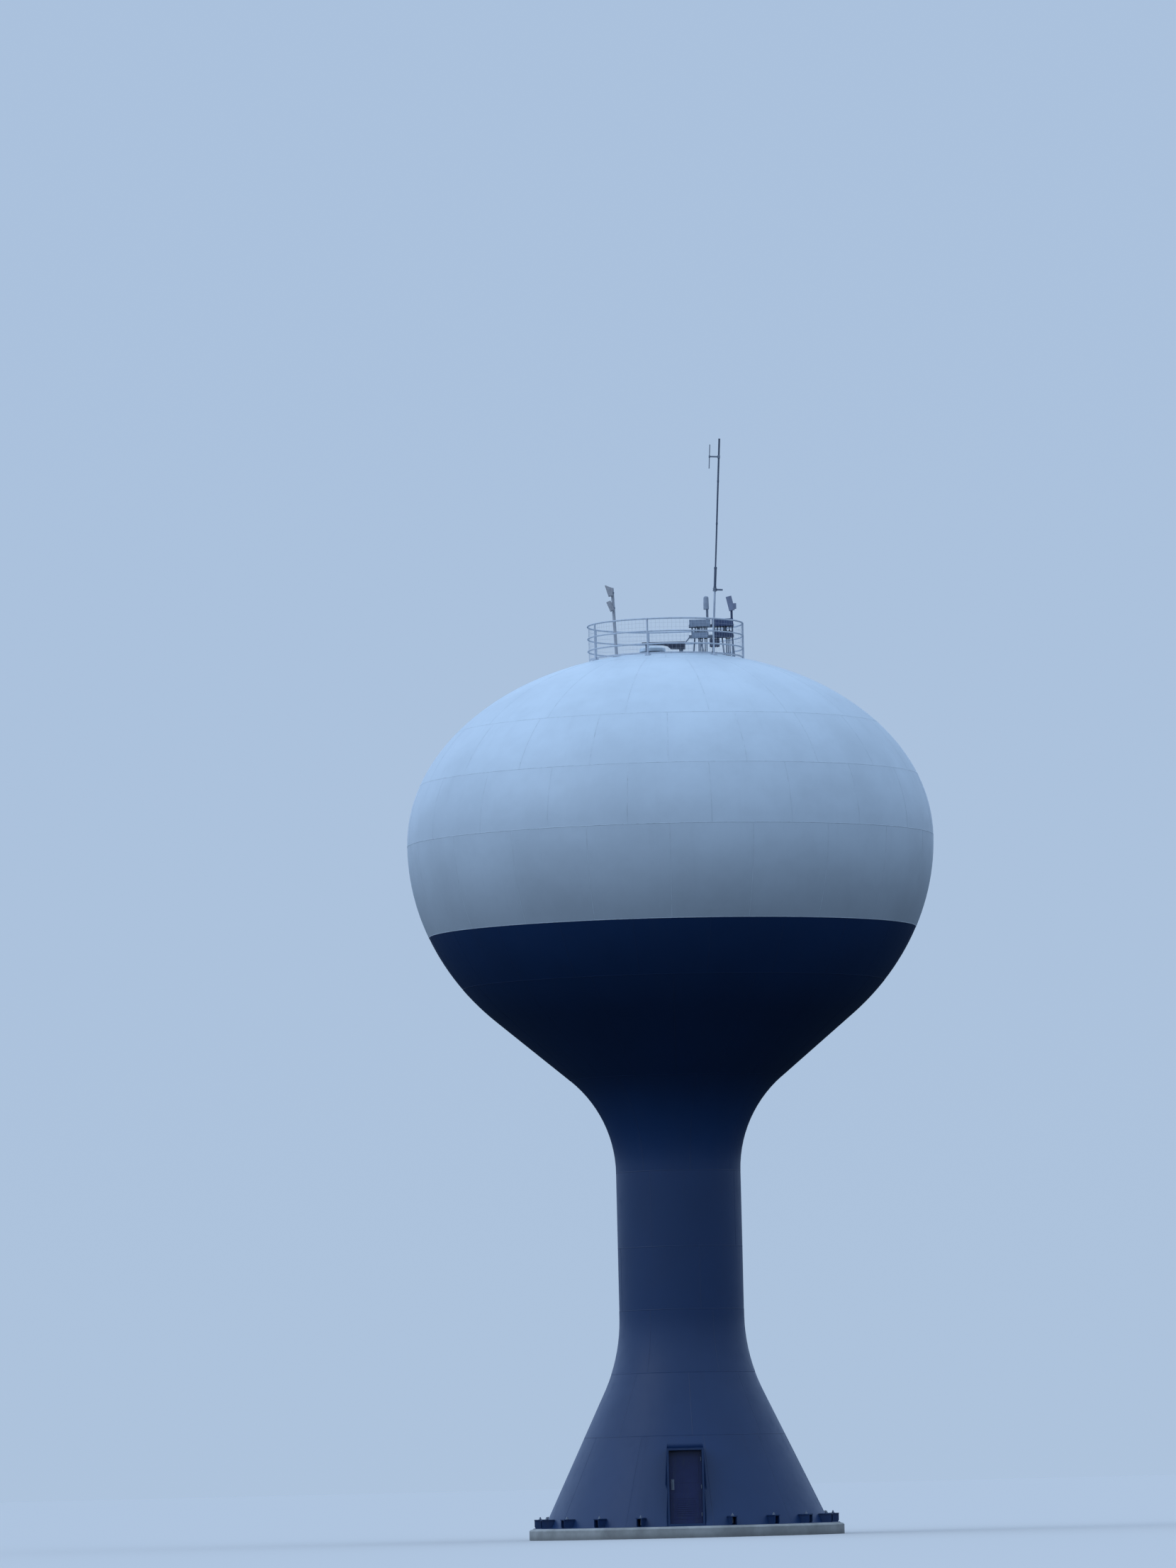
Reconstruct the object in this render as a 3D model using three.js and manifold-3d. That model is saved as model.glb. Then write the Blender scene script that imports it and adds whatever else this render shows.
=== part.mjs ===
// Water tower: a steel spheroid tank on one flared steel pedestal, with a railed crown that carries
// a whip mast, an equipment rack and small antennas.
// Millimetres, +Z up. The origin is on the tower's axis at ground level, and the front faces -Y.
import * as THREE from 'three';
import { mergeVertices } from 'three/addons/utils/BufferGeometryUtils.js';
import Module from 'manifold-3d';

const wasm = await Module();
wasm.setup();

// Tank and pedestal
const TANK_RADIUS = 7600;
const EQUATOR_Z = 20000;
const DOME_RISE = 0.72 * TANK_RADIUS;
const BOWL_SEMI_AXIS = 0.91 * TANK_RADIUS;
const PAINT_EDGE_Z = EQUATOR_Z - 0.346 * TANK_RADIUS;
const BOWL_CONE_SLOPE = THREE.MathUtils.degToRad(40);
const THROAT_FILLET = 3500;
const SHAFT_RADIUS = 1800;
const BELL_KNEE_Z = 5200;
const BELL_FILLET = 5000;
const BELL_FOOT_RADIUS = 4100;
const SHELL = 60;
const ROUND = 48;

// Level seams between the shell's courses, besides those where the outline or the colour changes
const SEAM_Z = { bell: [2900, 4700], shaft: [6500, 8300], bowl: 15850, roof: [21750, 23250] };

// The clearance where pieces meet on a cut or turned face, and how far joined forms reach into each other
const SEAT = 0.3;
const BURY = 10;

// Foundation and base ring
const FOUNDATION = { inner: 3650, outer: 4520, height: 300 };
const BASE_PLATE = { inner: 3850, outer: 4400, thickness: 40 };
const CHAIR = { count: 20, width: 200, height: 250, cap: 30, gusset: 20, spread: 70, reach: 4370 };
const BELL_FOOT_Z = FOUNDATION.height + BASE_PLATE.thickness;

// Doorway in the front of the bell
const DOOR = { width: 920, height: 2060, thickness: 45, clearance: 4, setback: 260 };
const DOOR_FRAME = { wall: 60, front: 4050, back: 2900, stop: 25, stopDepth: 40 };
const DOOR_HANDLE = { inset: 90, height: 1000, length: 240, width: 40, standOff: 60 };
const DOOR_HINGE = { radius: 14, length: 110, inset: 18, shares: [0.12, 0.5, 0.88] };

// Tank floor inside the throat
const FLOOR_THICKNESS = 40;

// Crown plate and its handrail
const CROWN_Z = 25100;
const RAIL_RADIUS = 2240;
const RAIL_HEIGHT = 1070;
const RAIL_COUNT = 7;
const RAIL_FIRST = THREE.MathUtils.degToRad(-13.2);
const RAIL = { post: 26, top: 24, middle: 21, middleDrops: [360, 720], foot: 75, footRise: 30 };
const TOE_BAR = { height: 60, thickness: 12, lift: 55 };

// Roof hatch and vent
const HATCH = { x: 250, y: 1250, radius: 380, wall: 12, height: 160, below: 160 };
const HATCH_LID = { thickness: 30, lip: 35, reach: 40, gap: 15, hinge: 90, hingeReach: 60 };
const VENT = { x: -380, y: 500, radius: 200, wall: 12, height: 170, below: 130 };
const VENT_CAP = { radius: 380, height: 90, skirt: 70, wall: 15, crown: 0.45 };
const ROUND_FITTING = 20;

// Equipment rack: two beams on legs, with boxes on the front. Each leg has the x of its top and foot,
// and how far its foot lies behind the beams
const RACK = { left: 685, right: 1985, y: -150, depth: 90, beam: 90, postWidth: 60, legRadius: 22 };
const RACK_TOP = { low: 26165, high: 26405 };
const RACK_LOWER = { low: 25860, high: 26040 };
const RACK_POSTS = [780, 985, 1190, 1510, 1725, 1940];
const RACK_LEGS = [
  { top: 990, foot: 1160, back: -300 },
  { top: 1640, foot: 1700, back: -300 },
  { top: 1935, foot: 1935, back: -300 },
  { top: 850, foot: 790, back: 450 },
  { top: 1935, foot: 2000, back: 450 },
];
const BOX_DEPTH = 190;
const SPLICE_BOX = { left: 1275, right: 1565, height: 275 };

// Whip mast, its foot, collar and side dipole
const MAST = { x: 1365, y: 0, lean: THREE.MathUtils.degToRad(3.08), top: 31660, joint: 27230, radius: 30 };
const MAST_FOOT = { half: 150, below: 90, rise: 60, stand: 30 };
const COLLAR = { radius: 62, height: 90, arm: 230, armHalf: 30, armLow: 20, armHigh: 75 };
const WHIP = { base: 43, baseHeight: 620, foot: 28, tip: 27 };
const DIPOLE = { z: 31140, reach: 270, half: 350, radius: 14, armHalf: 22, clamp: 40 };

// Stub antennas on the rack's top beam
const LEFT_STUB = { poleX: 1225, headX: 1200, pole: 36, headLow: 26690, headHigh: 27080, foot: 82, tip: 74 };
const RIGHT_STUB = { poleX: 1930, pole: 34, poleTop: 26760, tilt: THREE.MathUtils.degToRad(-13) };
const RIGHT_PANEL = { x: 1947, low: 26640, width: 165, depth: 120, height: 425 };
const RIGHT_UNIT = { left: 1935, right: 2072, depth: 110, low: 26690, high: 26850 };

// Leaning pole with two radio units. A unit's outline is seen from the front, as distances across the
// pole and up from its top, and its arm meets the pole at a drop below the top
const LEFT_POLE = { x: -1410, y: -1400, lean: THREE.MathUtils.degToRad(-2.55), top: 27260, radius: 46 };
const POLE_FOOT = { half: 85, below: 60, rise: 40 };
const POLE_UNIT = { depth: 150, front: 150, armHalf: 25 };
const POLE_UNITS = [
  { name: 'left_unit_upper', drop: 150, outline: [[-118, -262], [10, -260], [26, -26], [-205, 77]] },
  { name: 'left_unit_lower', drop: 590, outline: [[-90, -703], [32, -659], [-70, -377], [-192, -421]] },
];

// Tapered cable trough that lies over the crown
const TROUGH = { thin: -680, thick: 570, top: 25765, width: 300 };
const TROUGH_DEPTHS = [[-680, 35], [-80, 75], [60, 110], [150, 195], [570, 210]];
const TROUGH_LEG = { inset: 120, thin: 22, thick: 60 };
const TROUGH_STRUT = { drop: 45, rise: 28, radius: 20 };

const white = new THREE.MeshStandardMaterial({ color: 0xdfe5ea, roughness: 0.45, metalness: 0.0 });
const navy = new THREE.MeshStandardMaterial({ color: 0x1c2a5c, roughness: 0.45, metalness: 0.0 });
const concrete = new THREE.MeshStandardMaterial({ color: 0x9b9a94, roughness: 0.9, metalness: 0.0 });
const galvanised = new THREE.MeshStandardMaterial({ color: 0xa8adb1, roughness: 0.5, metalness: 0.9 });
const darkCase = new THREE.MeshStandardMaterial({ color: 0x3a4048, roughness: 0.6, metalness: 0.1 });
const paleCase = new THREE.MeshStandardMaterial({ color: 0x8f969c, roughness: 0.55, metalness: 0.1 });

const tower = new THREE.Group();

// Turns a three.js geometry into a solid that can be joined and cut
function toSolid(geometry) {
  const bare = geometry.clone();
  bare.deleteAttribute('normal');
  bare.deleteAttribute('uv');
  const merged = mergeVertices(bare, 1e-3);
  return new wasm.Manifold(new wasm.Mesh({
    numProp: 3,
    vertProperties: new Float32Array(merged.attributes.position.array),
    triVerts: new Uint32Array(merged.index.array),
  }));
}

// Turns a solid back into a geometry
function toGeometry(solid) {
  const mesh = solid.getMesh();
  const geometry = new THREE.BufferGeometry();
  geometry.setAttribute('position', new THREE.BufferAttribute(new Float32Array(mesh.vertProperties), 3));
  geometry.setIndex(new THREE.BufferAttribute(new Uint32Array(mesh.triVerts), 1));
  return geometry;
}

const joined = (geometries) => geometries.map(toSolid).reduce((all, solid) => all.add(solid));

// Adds one named sub-part to a group
function addMesh(name, geometry, material, parent = tower) {
  const mesh = new THREE.Mesh(geometry, material);
  mesh.name = name;
  parent.add(mesh);
  return mesh;
}

// A solid turned about the tower's axis from [radius, z] points that close on themselves or on the axis
function turned(points) {
  const outline = points.map(([radius, z]) => new THREE.Vector2(radius, z));
  const onAxis = outline[0].x === 0 && outline.at(-1).x === 0;
  if (!onAxis) outline.push(outline[0].clone());
  return new THREE.LatheGeometry(outline, ROUND).rotateX(Math.PI / 2);
}

// A box between two corners
function block([x0, y0, z0], [x1, y1, z1]) {
  const box = new THREE.BoxGeometry(x1 - x0, y1 - y0, z1 - z0);
  return box.translate((x0 + x1) / 2, (y0 + y1) / 2, (z0 + z1) / 2);
}

// A round or tapered upright standing on z = low
function upright(x, y, low, high, radiusLow, radiusHigh = radiusLow, sides = 10) {
  const rod = new THREE.CylinderGeometry(radiusHigh, radiusLow, high - low, sides).rotateX(Math.PI / 2);
  return rod.translate(x, y, (low + high) / 2);
}

// The same in the rounder form of the hatch and the vent
const roundUpright = (x, y, low, high, radiusLow, radiusHigh = radiusLow) => (
  upright(x, y, low, high, radiusLow, radiusHigh, ROUND_FITTING)
);

// A straight bar of few sides from one point to another
function bar(from, to, radius, sides = 6) {
  const start = new THREE.Vector3(...from);
  const along = new THREE.Vector3(...to).sub(start);
  const rod = new THREE.CylinderGeometry(radius, radius, along.length(), sides);
  rod.translate(0, along.length() / 2, 0);
  const turn = new THREE.Quaternion().setFromUnitVectors(new THREE.Vector3(0, 1, 0), along.normalize());
  return rod.applyQuaternion(turn).translate(...start.toArray());
}

// A level arc round the axis, measured from the front (-Y) towards +X
class LevelArc extends THREE.Curve {
  constructor(radius, z, from, to) {
    super();
    Object.assign(this, { radius, z, from, to });
  }

  getPoint(t, target = new THREE.Vector3()) {
    const angle = THREE.MathUtils.lerp(this.from, this.to, t);
    return target.set(this.radius * Math.sin(angle), -this.radius * Math.cos(angle), this.z);
  }
}

function section(sides, radius) {
  const points = [];
  for (let i = 0; i < sides; i += 1) {
    const angle = ((i + 0.5) / sides) * 2 * Math.PI;
    points.push(new THREE.Vector2(radius * Math.cos(angle), radius * Math.sin(angle)));
  }
  return new THREE.Shape(points);
}

function alongArc(shape, arc) {
  return new THREE.ExtrudeGeometry(shape, { steps: 4, extrudePath: arc, curveSegments: 1 });
}

// The tower's outer face as samples of radius, height and outward normal, from the bell's foot to the apex
function towerFace() {
  const samples = [];
  const add = (r, z, nr, nz) => {
    const size = Math.hypot(nr, nz);
    samples.push({ r, z, nr: nr / size, nz: nz / size });
  };
  const steps = (count, visit) => {
    for (let i = 0; i <= count; i += 1) visit(i / count);
  };

  const bellTilt = Math.atan((BELL_FOOT_RADIUS - SHAFT_RADIUS) / (BELL_KNEE_Z - BELL_FOOT_Z));
  add(BELL_FOOT_RADIUS, BELL_FOOT_Z, Math.cos(bellTilt), Math.sin(bellTilt));
  const bellCentreZ = BELL_KNEE_Z + BELL_FILLET * Math.tan(bellTilt / 2);
  steps(4, (share) => {
    const turn = bellTilt * (1 - share);
    const r = SHAFT_RADIUS + BELL_FILLET * (1 - Math.cos(turn));
    add(r, bellCentreZ - BELL_FILLET * Math.sin(turn), Math.cos(turn), Math.sin(turn));
  });

  const coneAngle = Math.atan(BOWL_SEMI_AXIS / (TANK_RADIUS * Math.tan(BOWL_CONE_SLOPE)));
  const coneTopRadius = TANK_RADIUS * Math.cos(coneAngle);
  const coneTopZ = EQUATOR_Z - BOWL_SEMI_AXIS * Math.sin(coneAngle);
  const coneTilt = Math.PI / 2 - BOWL_CONE_SLOPE;
  const kneeZ = coneTopZ - (coneTopRadius - SHAFT_RADIUS) / Math.tan(coneTilt);
  const throatCentreZ = kneeZ - THROAT_FILLET * Math.tan(coneTilt / 2);
  steps(5, (share) => {
    const turn = coneTilt * share;
    const r = SHAFT_RADIUS + THROAT_FILLET * (1 - Math.cos(turn));
    add(r, throatCentreZ + THROAT_FILLET * Math.sin(turn), Math.cos(turn), -Math.sin(turn));
  });

  steps(6, (share) => {
    const angle = -coneAngle * (1 - share);
    const [c, s] = [Math.cos(angle), Math.sin(angle)];
    add(TANK_RADIUS * c, EQUATOR_Z + BOWL_SEMI_AXIS * s, BOWL_SEMI_AXIS * c, TANK_RADIUS * s);
  });
  steps(12, (share) => {
    const angle = (share * Math.PI) / 2;
    const [c, s] = [share === 1 ? 0 : Math.cos(angle), Math.sin(angle)];
    if (share > 0) add(TANK_RADIUS * c, EQUATOR_Z + DOME_RISE * s, DOME_RISE * c, TANK_RADIUS * s);
  });
  return { samples, throatFootZ: throatCentreZ };
}

const face = towerFace();
const outerFace = face.samples.map(({ r, z }) => [r, z]);
const innerFace = face.samples.map(({ r, z, nr, nz }) => [r - SHELL * nr, z - SHELL * nz]);
const APEX_Z = EQUATOR_Z + DOME_RISE;
const THROAT_TOP_Z = face.throatFootZ + THROAT_FILLET * Math.sin(Math.PI / 2 - BOWL_CONE_SLOPE);

// The point of a face at a height
function pointAt(line, z) {
  const above = line.findIndex((point) => point[1] >= z);
  if (above < 0) return line.at(-1);
  if (above === 0) return line[0];
  const [[r0, z0], [r1, z1]] = [line[above - 1], line[above]];
  return [THREE.MathUtils.lerp(r0, r1, (z - z0) / (z1 - z0)), z];
}

const faceRadius = (z) => pointAt(outerFace, z)[0];

// The height of the dome's outer face at a distance from the axis
function domeHeight(radius) {
  return EQUATOR_Z + DOME_RISE * Math.sqrt(1 - (radius / TANK_RADIUS) ** 2);
}

// The stretch of a face between two heights
function stretch(line, low, high) {
  const between = line.filter(([, z]) => z > low + 1 && z < high - 1);
  return [pointAt(line, low), ...between, pointAt(line, high)];
}

// One course of the steel shell between two level cuts
function course(low, high) {
  return turned([...stretch(outerFace, low, high), ...stretch(innerFace, low, high).reverse()]);
}

// The space that the outer face fills between two heights, grown by the seat clearance
function filledSpace(low, high) {
  const grown = stretch(outerFace, low, high).map(([r, z]) => [r === 0 ? 0 : r + SEAT, z + SEAT]);
  const top = grown.at(-1);
  const cap = top[0] === 0 ? [] : [[0, top[1]]];
  return toSolid(turned([[0, low], [grown[0][0], low], ...grown, ...cap]));
}

function addFoundation() {
  const { inner, outer, height } = FOUNDATION;
  addMesh('foundation_ring', turned([[inner, 0], [outer, 0], [outer, height], [inner, height]]), concrete);
}

function addBaseRing() {
  const low = FOUNDATION.height;
  const plateTop = BELL_FOOT_Z;
  const { inner, outer } = BASE_PLATE;
  const parts = [turned([[inner, low], [outer, low], [outer, plateTop], [inner, plateTop]])];
  const chairIn = faceRadius(plateTop + CHAIR.height) - SHELL / 2;
  const capLow = plateTop + CHAIR.height - CHAIR.cap;
  const half = CHAIR.width / 2;
  const web = CHAIR.gusset / 2;
  // The door takes the place of the chair at the front
  for (let i = 1; i < CHAIR.count; i += 1) {
    const angle = (i / CHAIR.count) * 2 * Math.PI;
    const pieces = [block([-half, -CHAIR.reach, capLow], [half, -chairIn, capLow + CHAIR.cap])];
    for (const x of [-CHAIR.spread, CHAIR.spread]) {
      pieces.push(block(
        [x - web, -CHAIR.reach + CHAIR.gusset, plateTop - BURY],
        [x + web, -chairIn, capLow + BURY],
      ));
    }
    parts.push(...pieces.map((piece) => piece.rotateZ(angle)));
  }
  const ring = joined(parts).subtract(filledSpace(plateTop, plateTop + 2 * CHAIR.height));
  addMesh('base_ring', toGeometry(ring), navy);
}

// The doorway's steel frame: a box that stands through the sloping bell, with a stop for the leaf
function doorParts() {
  const low = BELL_FOOT_Z;
  const { wall, front, back, stop, stopDepth } = DOOR_FRAME;
  const half = DOOR.width / 2 + DOOR.clearance;
  const sill = low + wall;
  const head = sill + DOOR.height + 2 * DOOR.clearance;
  const shell = toSolid(block([-half - wall, -front, low + SEAT], [half + wall, -back, head + wall]));
  const way = toSolid(block([-half, -front - 1, sill], [half, -back + 1, head]));
  const stopY = -front + DOOR.setback + DOOR.thickness + SEAT;
  const rebate = toSolid(block([-half, stopY, sill], [half, stopY + stopDepth, head]));
  const clear = toSolid(block(
    [-half + stop, stopY - 1, sill + stop],
    [half - stop, stopY + stopDepth + 1, head - stop],
  ));
  const frame = shell.subtract(way).add(rebate.subtract(clear));
  const space = toSolid(block(
    [-half - wall - SEAT, -BELL_FOOT_RADIUS - SHELL, low - 1],
    [half + wall + SEAT, -back + SEAT, head + wall + SEAT],
  ));
  return { frame, space, sill, stopY };
}

function addDoor(door) {
  const leafHalf = DOOR.width / 2;
  const leafLow = door.sill + DOOR.clearance;
  const leafBack = door.stopY - SEAT;
  const leafFront = leafBack - DOOR.thickness;
  const leafHigh = leafLow + DOOR.height;
  const leaf = [block([-leafHalf, leafFront, leafLow], [leafHalf, leafBack, leafHigh])];

  const { width, length, standOff } = DOOR_HANDLE;
  const handleX = -leafHalf + DOOR_HANDLE.inset;
  const handleZ = leafLow + DOOR_HANDLE.height;
  const gripBack = leafFront - standOff + width / 2;
  leaf.push(block(
    [handleX - width / 2, leafFront - standOff, handleZ],
    [handleX + width / 2, gripBack, handleZ + length],
  ));
  const neck = 0.75 * width;
  for (const z of [handleZ, handleZ + length - neck]) {
    leaf.push(block(
      [handleX - neck / 2, gripBack - BURY, z],
      [handleX + neck / 2, leafFront + BURY, z + neck],
    ));
  }

  for (const share of DOOR_HINGE.shares) {
    const z = leafLow + share * DOOR.height - DOOR_HINGE.length / 2;
    const { radius, length: barrel, inset } = DOOR_HINGE;
    leaf.push(upright(leafHalf - inset, leafFront - 4, z, z + barrel, radius, radius, 8));
  }
  addMesh('door_frame', toGeometry(door.frame), navy);
  addMesh('door_leaf', toGeometry(joined(leaf)), paleCase);
}

// The steel shell, course by course, from the bell to the roof
function addCourses(doorSpace) {
  const courses = [
    ['bell_lower', BELL_FOOT_Z, SEAM_Z.bell[0], navy],
    ['bell_upper', SEAM_Z.bell[0], SEAM_Z.bell[1], navy],
    ['bell_throat', SEAM_Z.bell[1], SEAM_Z.shaft[0], navy],
    ['shaft_lower', SEAM_Z.shaft[0], SEAM_Z.shaft[1], navy],
    ['shaft_upper', SEAM_Z.shaft[1], face.throatFootZ, navy],
    ['bowl_throat', face.throatFootZ, THROAT_TOP_Z, navy],
    ['bowl_cone', THROAT_TOP_Z, SEAM_Z.bowl, navy],
    ['bowl_lower', SEAM_Z.bowl, PAINT_EDGE_Z, navy],
    ['bowl_upper', PAINT_EDGE_Z, EQUATOR_Z, white],
    ['roof_lower', EQUATOR_Z, SEAM_Z.roof[0], white],
    ['roof_middle', SEAM_Z.roof[0], SEAM_Z.roof[1], white],
    ['roof_upper', SEAM_Z.roof[1], CROWN_Z, white],
  ];
  for (const [name, low, high, material] of courses) {
    const plain = course(low, high);
    const geometry = name === 'bell_lower' ? toGeometry(toSolid(plain).subtract(doorSpace)) : plain;
    addMesh(name, geometry, material);
  }
}

// The crown plate, cut for the hatch and the vent
function addCrown() {
  let crown = toSolid(course(CROWN_Z, APEX_Z));
  for (const { x, y, radius } of [HATCH, VENT]) {
    crown = crown.subtract(toSolid(roundUpright(x, y, CROWN_Z - radius, APEX_Z + radius, radius + SEAT)));
  }
  addMesh('crown_plate', toGeometry(crown), white);
}

// A short tube that stands through the crown plate
function addCurb(name, { x, y, radius, wall, height, below }) {
  const seatZ = domeHeight(Math.hypot(x, y));
  const top = seatZ + height;
  const tube = toSolid(roundUpright(x, y, seatZ - below, top, radius));
  const bore = toSolid(roundUpright(x, y, seatZ - below - 1, top + 1, radius - wall));
  addMesh(name, toGeometry(tube.subtract(bore)), white);
  return top;
}

function addHatch() {
  const top = addCurb('hatch_curb', HATCH);
  const { x, y, radius } = HATCH;
  const { thickness, lip, reach, gap, hinge, hingeReach } = HATCH_LID;
  const cap = toSolid(roundUpright(x, y, top - lip, top + thickness, radius + reach, radius + reach - BURY));
  const well = toSolid(roundUpright(x, y, top - lip - 1, top, radius + gap));
  const hingeBlock = toSolid(block(
    [x - hinge, y + radius, top + 2],
    [x + hinge, y + radius + hingeReach, top + thickness - 2],
  ));
  addMesh('hatch_lid', toGeometry(cap.add(hingeBlock).subtract(well)), white);
}

function addVent() {
  const top = addCurb('vent_neck', VENT);
  const { x, y } = VENT;
  const { radius, height, skirt, wall, crown } = VENT_CAP;
  const hood = roundUpright(x, y, top, top + height, radius, crown * radius);
  const rim = roundUpright(x, y, top - skirt, top + 1, radius);
  const well = toSolid(roundUpright(x, y, top - skirt - 1, top, radius - wall));
  addMesh('vent_cap', toGeometry(joined([hood, rim]).subtract(well)), white);
}

// An upright on the handrail's ring, at an angle from the front towards +X
function ringUpright(angle, low, high, radius) {
  const x = RAIL_RADIUS * Math.sin(angle);
  const y = -RAIL_RADIUS * Math.cos(angle);
  return upright(x, y, low, high, radius, radius, 8);
}

// The crown's handrail, in equal panels that each hold one post and the rails to the next
function addHandrail(dome) {
  const footZ = domeHeight(RAIL_RADIUS);
  const low = footZ - RAIL.foot;
  const pitch = (2 * Math.PI) / RAIL_COUNT;
  const topZ = footZ + RAIL_HEIGHT - RAIL.top;
  const footTop = footZ + RAIL.footRise;
  const [toeHalf, toeEdge] = [TOE_BAR.height / 2, TOE_BAR.thickness / 2];
  const toe = new THREE.Shape([
    new THREE.Vector2(-toeHalf, -toeEdge),
    new THREE.Vector2(toeHalf, -toeEdge),
    new THREE.Vector2(toeHalf, toeEdge),
    new THREE.Vector2(-toeHalf, toeEdge),
  ]);
  for (let i = 0; i < RAIL_COUNT; i += 1) {
    const from = RAIL_FIRST + i * pitch;
    const to = from + pitch;
    const panel = joined([
      ringUpright(from, low, topZ, RAIL.post),
      ringUpright(from, low, footTop, RAIL.foot),
      alongArc(section(6, RAIL.top), new LevelArc(RAIL_RADIUS, topZ, from, to)),
      ...RAIL.middleDrops.map((drop) => (
        alongArc(section(6, RAIL.middle), new LevelArc(RAIL_RADIUS, topZ - drop, from, to))
      )),
      alongArc(toe, new LevelArc(RAIL_RADIUS, footZ + TOE_BAR.lift, from, to)),
    ]);
    const nextPost = toSolid(ringUpright(to, low, topZ + RAIL_HEIGHT, RAIL.post + SEAT));
    const nextFoot = toSolid(ringUpright(to, low - 1, footTop + SEAT, RAIL.foot + SEAT));
    const cut = panel.subtract(nextPost).subtract(nextFoot).subtract(dome);
    addMesh(`handrail_${i + 1}`, toGeometry(cut), galvanised);
  }
}

// The equipment rack: two level beams with short posts between, on legs that stand on the crown,
// and a saddle behind each beam that holds the mast
function addRack(dome, mastSpace) {
  const { left, right, y, depth, beam, postWidth, legRadius } = RACK;
  const [front, back] = [y - depth / 2, y + depth / 2];
  const beamLows = [RACK_TOP.low, RACK_LOWER.low];
  const parts = beamLows.map((low) => block([left, front, low], [right, back, low + beam]));
  for (const x of RACK_POSTS) {
    parts.push(block(
      [x - postWidth / 2, front + BURY, RACK_LOWER.low + BURY],
      [x + postWidth / 2, back - BURY, RACK_TOP.low + BURY],
    ));
  }
  for (const leg of RACK_LEGS) {
    const top = [leg.top, y, RACK_LOWER.low + legRadius];
    parts.push(bar(top, [leg.foot, y + leg.back, CROWN_Z + 100], legRadius));
  }
  for (const low of beamLows) {
    parts.push(block(
      [MAST.x - 2 * MAST.radius, back - BURY, low + BURY],
      [MAST.x + 4 * MAST.radius, MAST.y, low + beam - BURY],
    ));
  }
  addMesh('equipment_rack', toGeometry(joined(parts).subtract(dome).subtract(mastSpace)), galvanised);
}

// The boxes on the rack's front, and the one that hangs under its lower beam by the mast
function addRackBoxes() {
  const front = RACK.y - RACK.depth / 2 - SEAT;
  const { left, right } = RACK;
  const boxes = [
    ['radio_box_upper', 1350, RACK_TOP.low, right - 15, RACK_TOP.high, darkCase],
    ['radio_box_lower', 1365, RACK_LOWER.low - 25, right - 40, RACK_LOWER.high, darkCase],
    ['junction_box_upper', left + 15, RACK_TOP.low + 15, 1310, RACK_TOP.high - 20, paleCase],
    ['junction_box_lower', left + 75, RACK_LOWER.low - 10, 1250, RACK_LOWER.high - 20, paleCase],
  ];
  for (const [name, x0, z0, x1, z1, material] of boxes) {
    addMesh(name, block([x0, front - BOX_DEPTH, z0], [x1, front, z1]), material);
  }
  const { left: boxLeft, right: boxRight, height } = SPLICE_BOX;
  const half = RACK.depth / 2;
  addMesh('splice_box', block(
    [boxLeft, RACK.y - half, RACK_LOWER.low - height],
    [boxRight, RACK.y + half, RACK_LOWER.low],
  ), darkCase);
}

// A leaning group whose origin is a foot on the crown
function leaningGroup(x, y, z, lean) {
  const group = new THREE.Group();
  group.position.set(x, y, z);
  group.rotation.y = lean;
  tower.add(group);
  return group;
}

// The same lean given to a geometry built in the group's own frame
function leaned(geometry, x, y, z, lean) {
  return geometry.rotateY(lean).translate(x, y, z);
}

// The whip mast. Returns the space that its lower tube takes
function addMast(dome) {
  const { x, y, lean, radius } = MAST;
  const baseZ = domeHeight(Math.hypot(x, y));
  const standZ = baseZ + MAST_FOOT.stand;
  const { half, below, rise } = MAST_FOOT;
  const jointAt = MAST.joint - standZ;
  const foot = toSolid(block([x - half, y - half, baseZ - below], [x + half, y + half, baseZ + rise]));
  const space = toSolid(leaned(upright(0, 0, 0, jointAt, radius + SEAT), x, y, standZ, lean));
  addMesh('mast_foot', toGeometry(foot.subtract(dome).subtract(space)), galvanised);

  const group = leaningGroup(x, y, standZ, lean);
  addMesh('mast_lower', upright(0, 0, SEAT, jointAt, radius), galvanised, group);
  const collar = joined([
    upright(0, 0, jointAt + SEAT, jointAt + COLLAR.height, COLLAR.radius),
    block(
      [0, -COLLAR.armHalf, jointAt + COLLAR.armLow],
      [COLLAR.arm, COLLAR.armHalf, jointAt + COLLAR.armHigh],
    ),
  ]);
  addMesh('mast_collar', toGeometry(collar), galvanised, group);

  const baseAt = jointAt + COLLAR.height;
  const whipAt = baseAt + WHIP.baseHeight - BURY;
  const topAt = (MAST.top - standZ) / Math.cos(lean);
  const whip = joined([
    upright(0, 0, baseAt + SEAT, baseAt + WHIP.baseHeight, WHIP.base),
    upright(0, 0, whipAt, topAt, WHIP.foot, WHIP.tip),
  ]);
  addMesh('mast_upper', toGeometry(whip), galvanised, group);

  const armAt = DIPOLE.z - standZ;
  const { reach, clamp, armHalf, radius: rod } = DIPOLE;
  const whipSpace = toSolid(upright(0, 0, whipAt, topAt, WHIP.foot + SEAT, WHIP.tip + SEAT));
  const arm = joined([
    block([-reach, -rod, armAt - armHalf], [clamp, rod, armAt + armHalf]),
    block([-clamp, -clamp, armAt - clamp], [clamp, clamp, armAt + clamp]),
    upright(-reach, 0, armAt - DIPOLE.half, armAt + DIPOLE.half, rod, rod, 8),
  ]);
  addMesh('mast_dipole', toGeometry(arm.subtract(whipSpace)), galvanised, group);
  return space;
}

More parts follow.
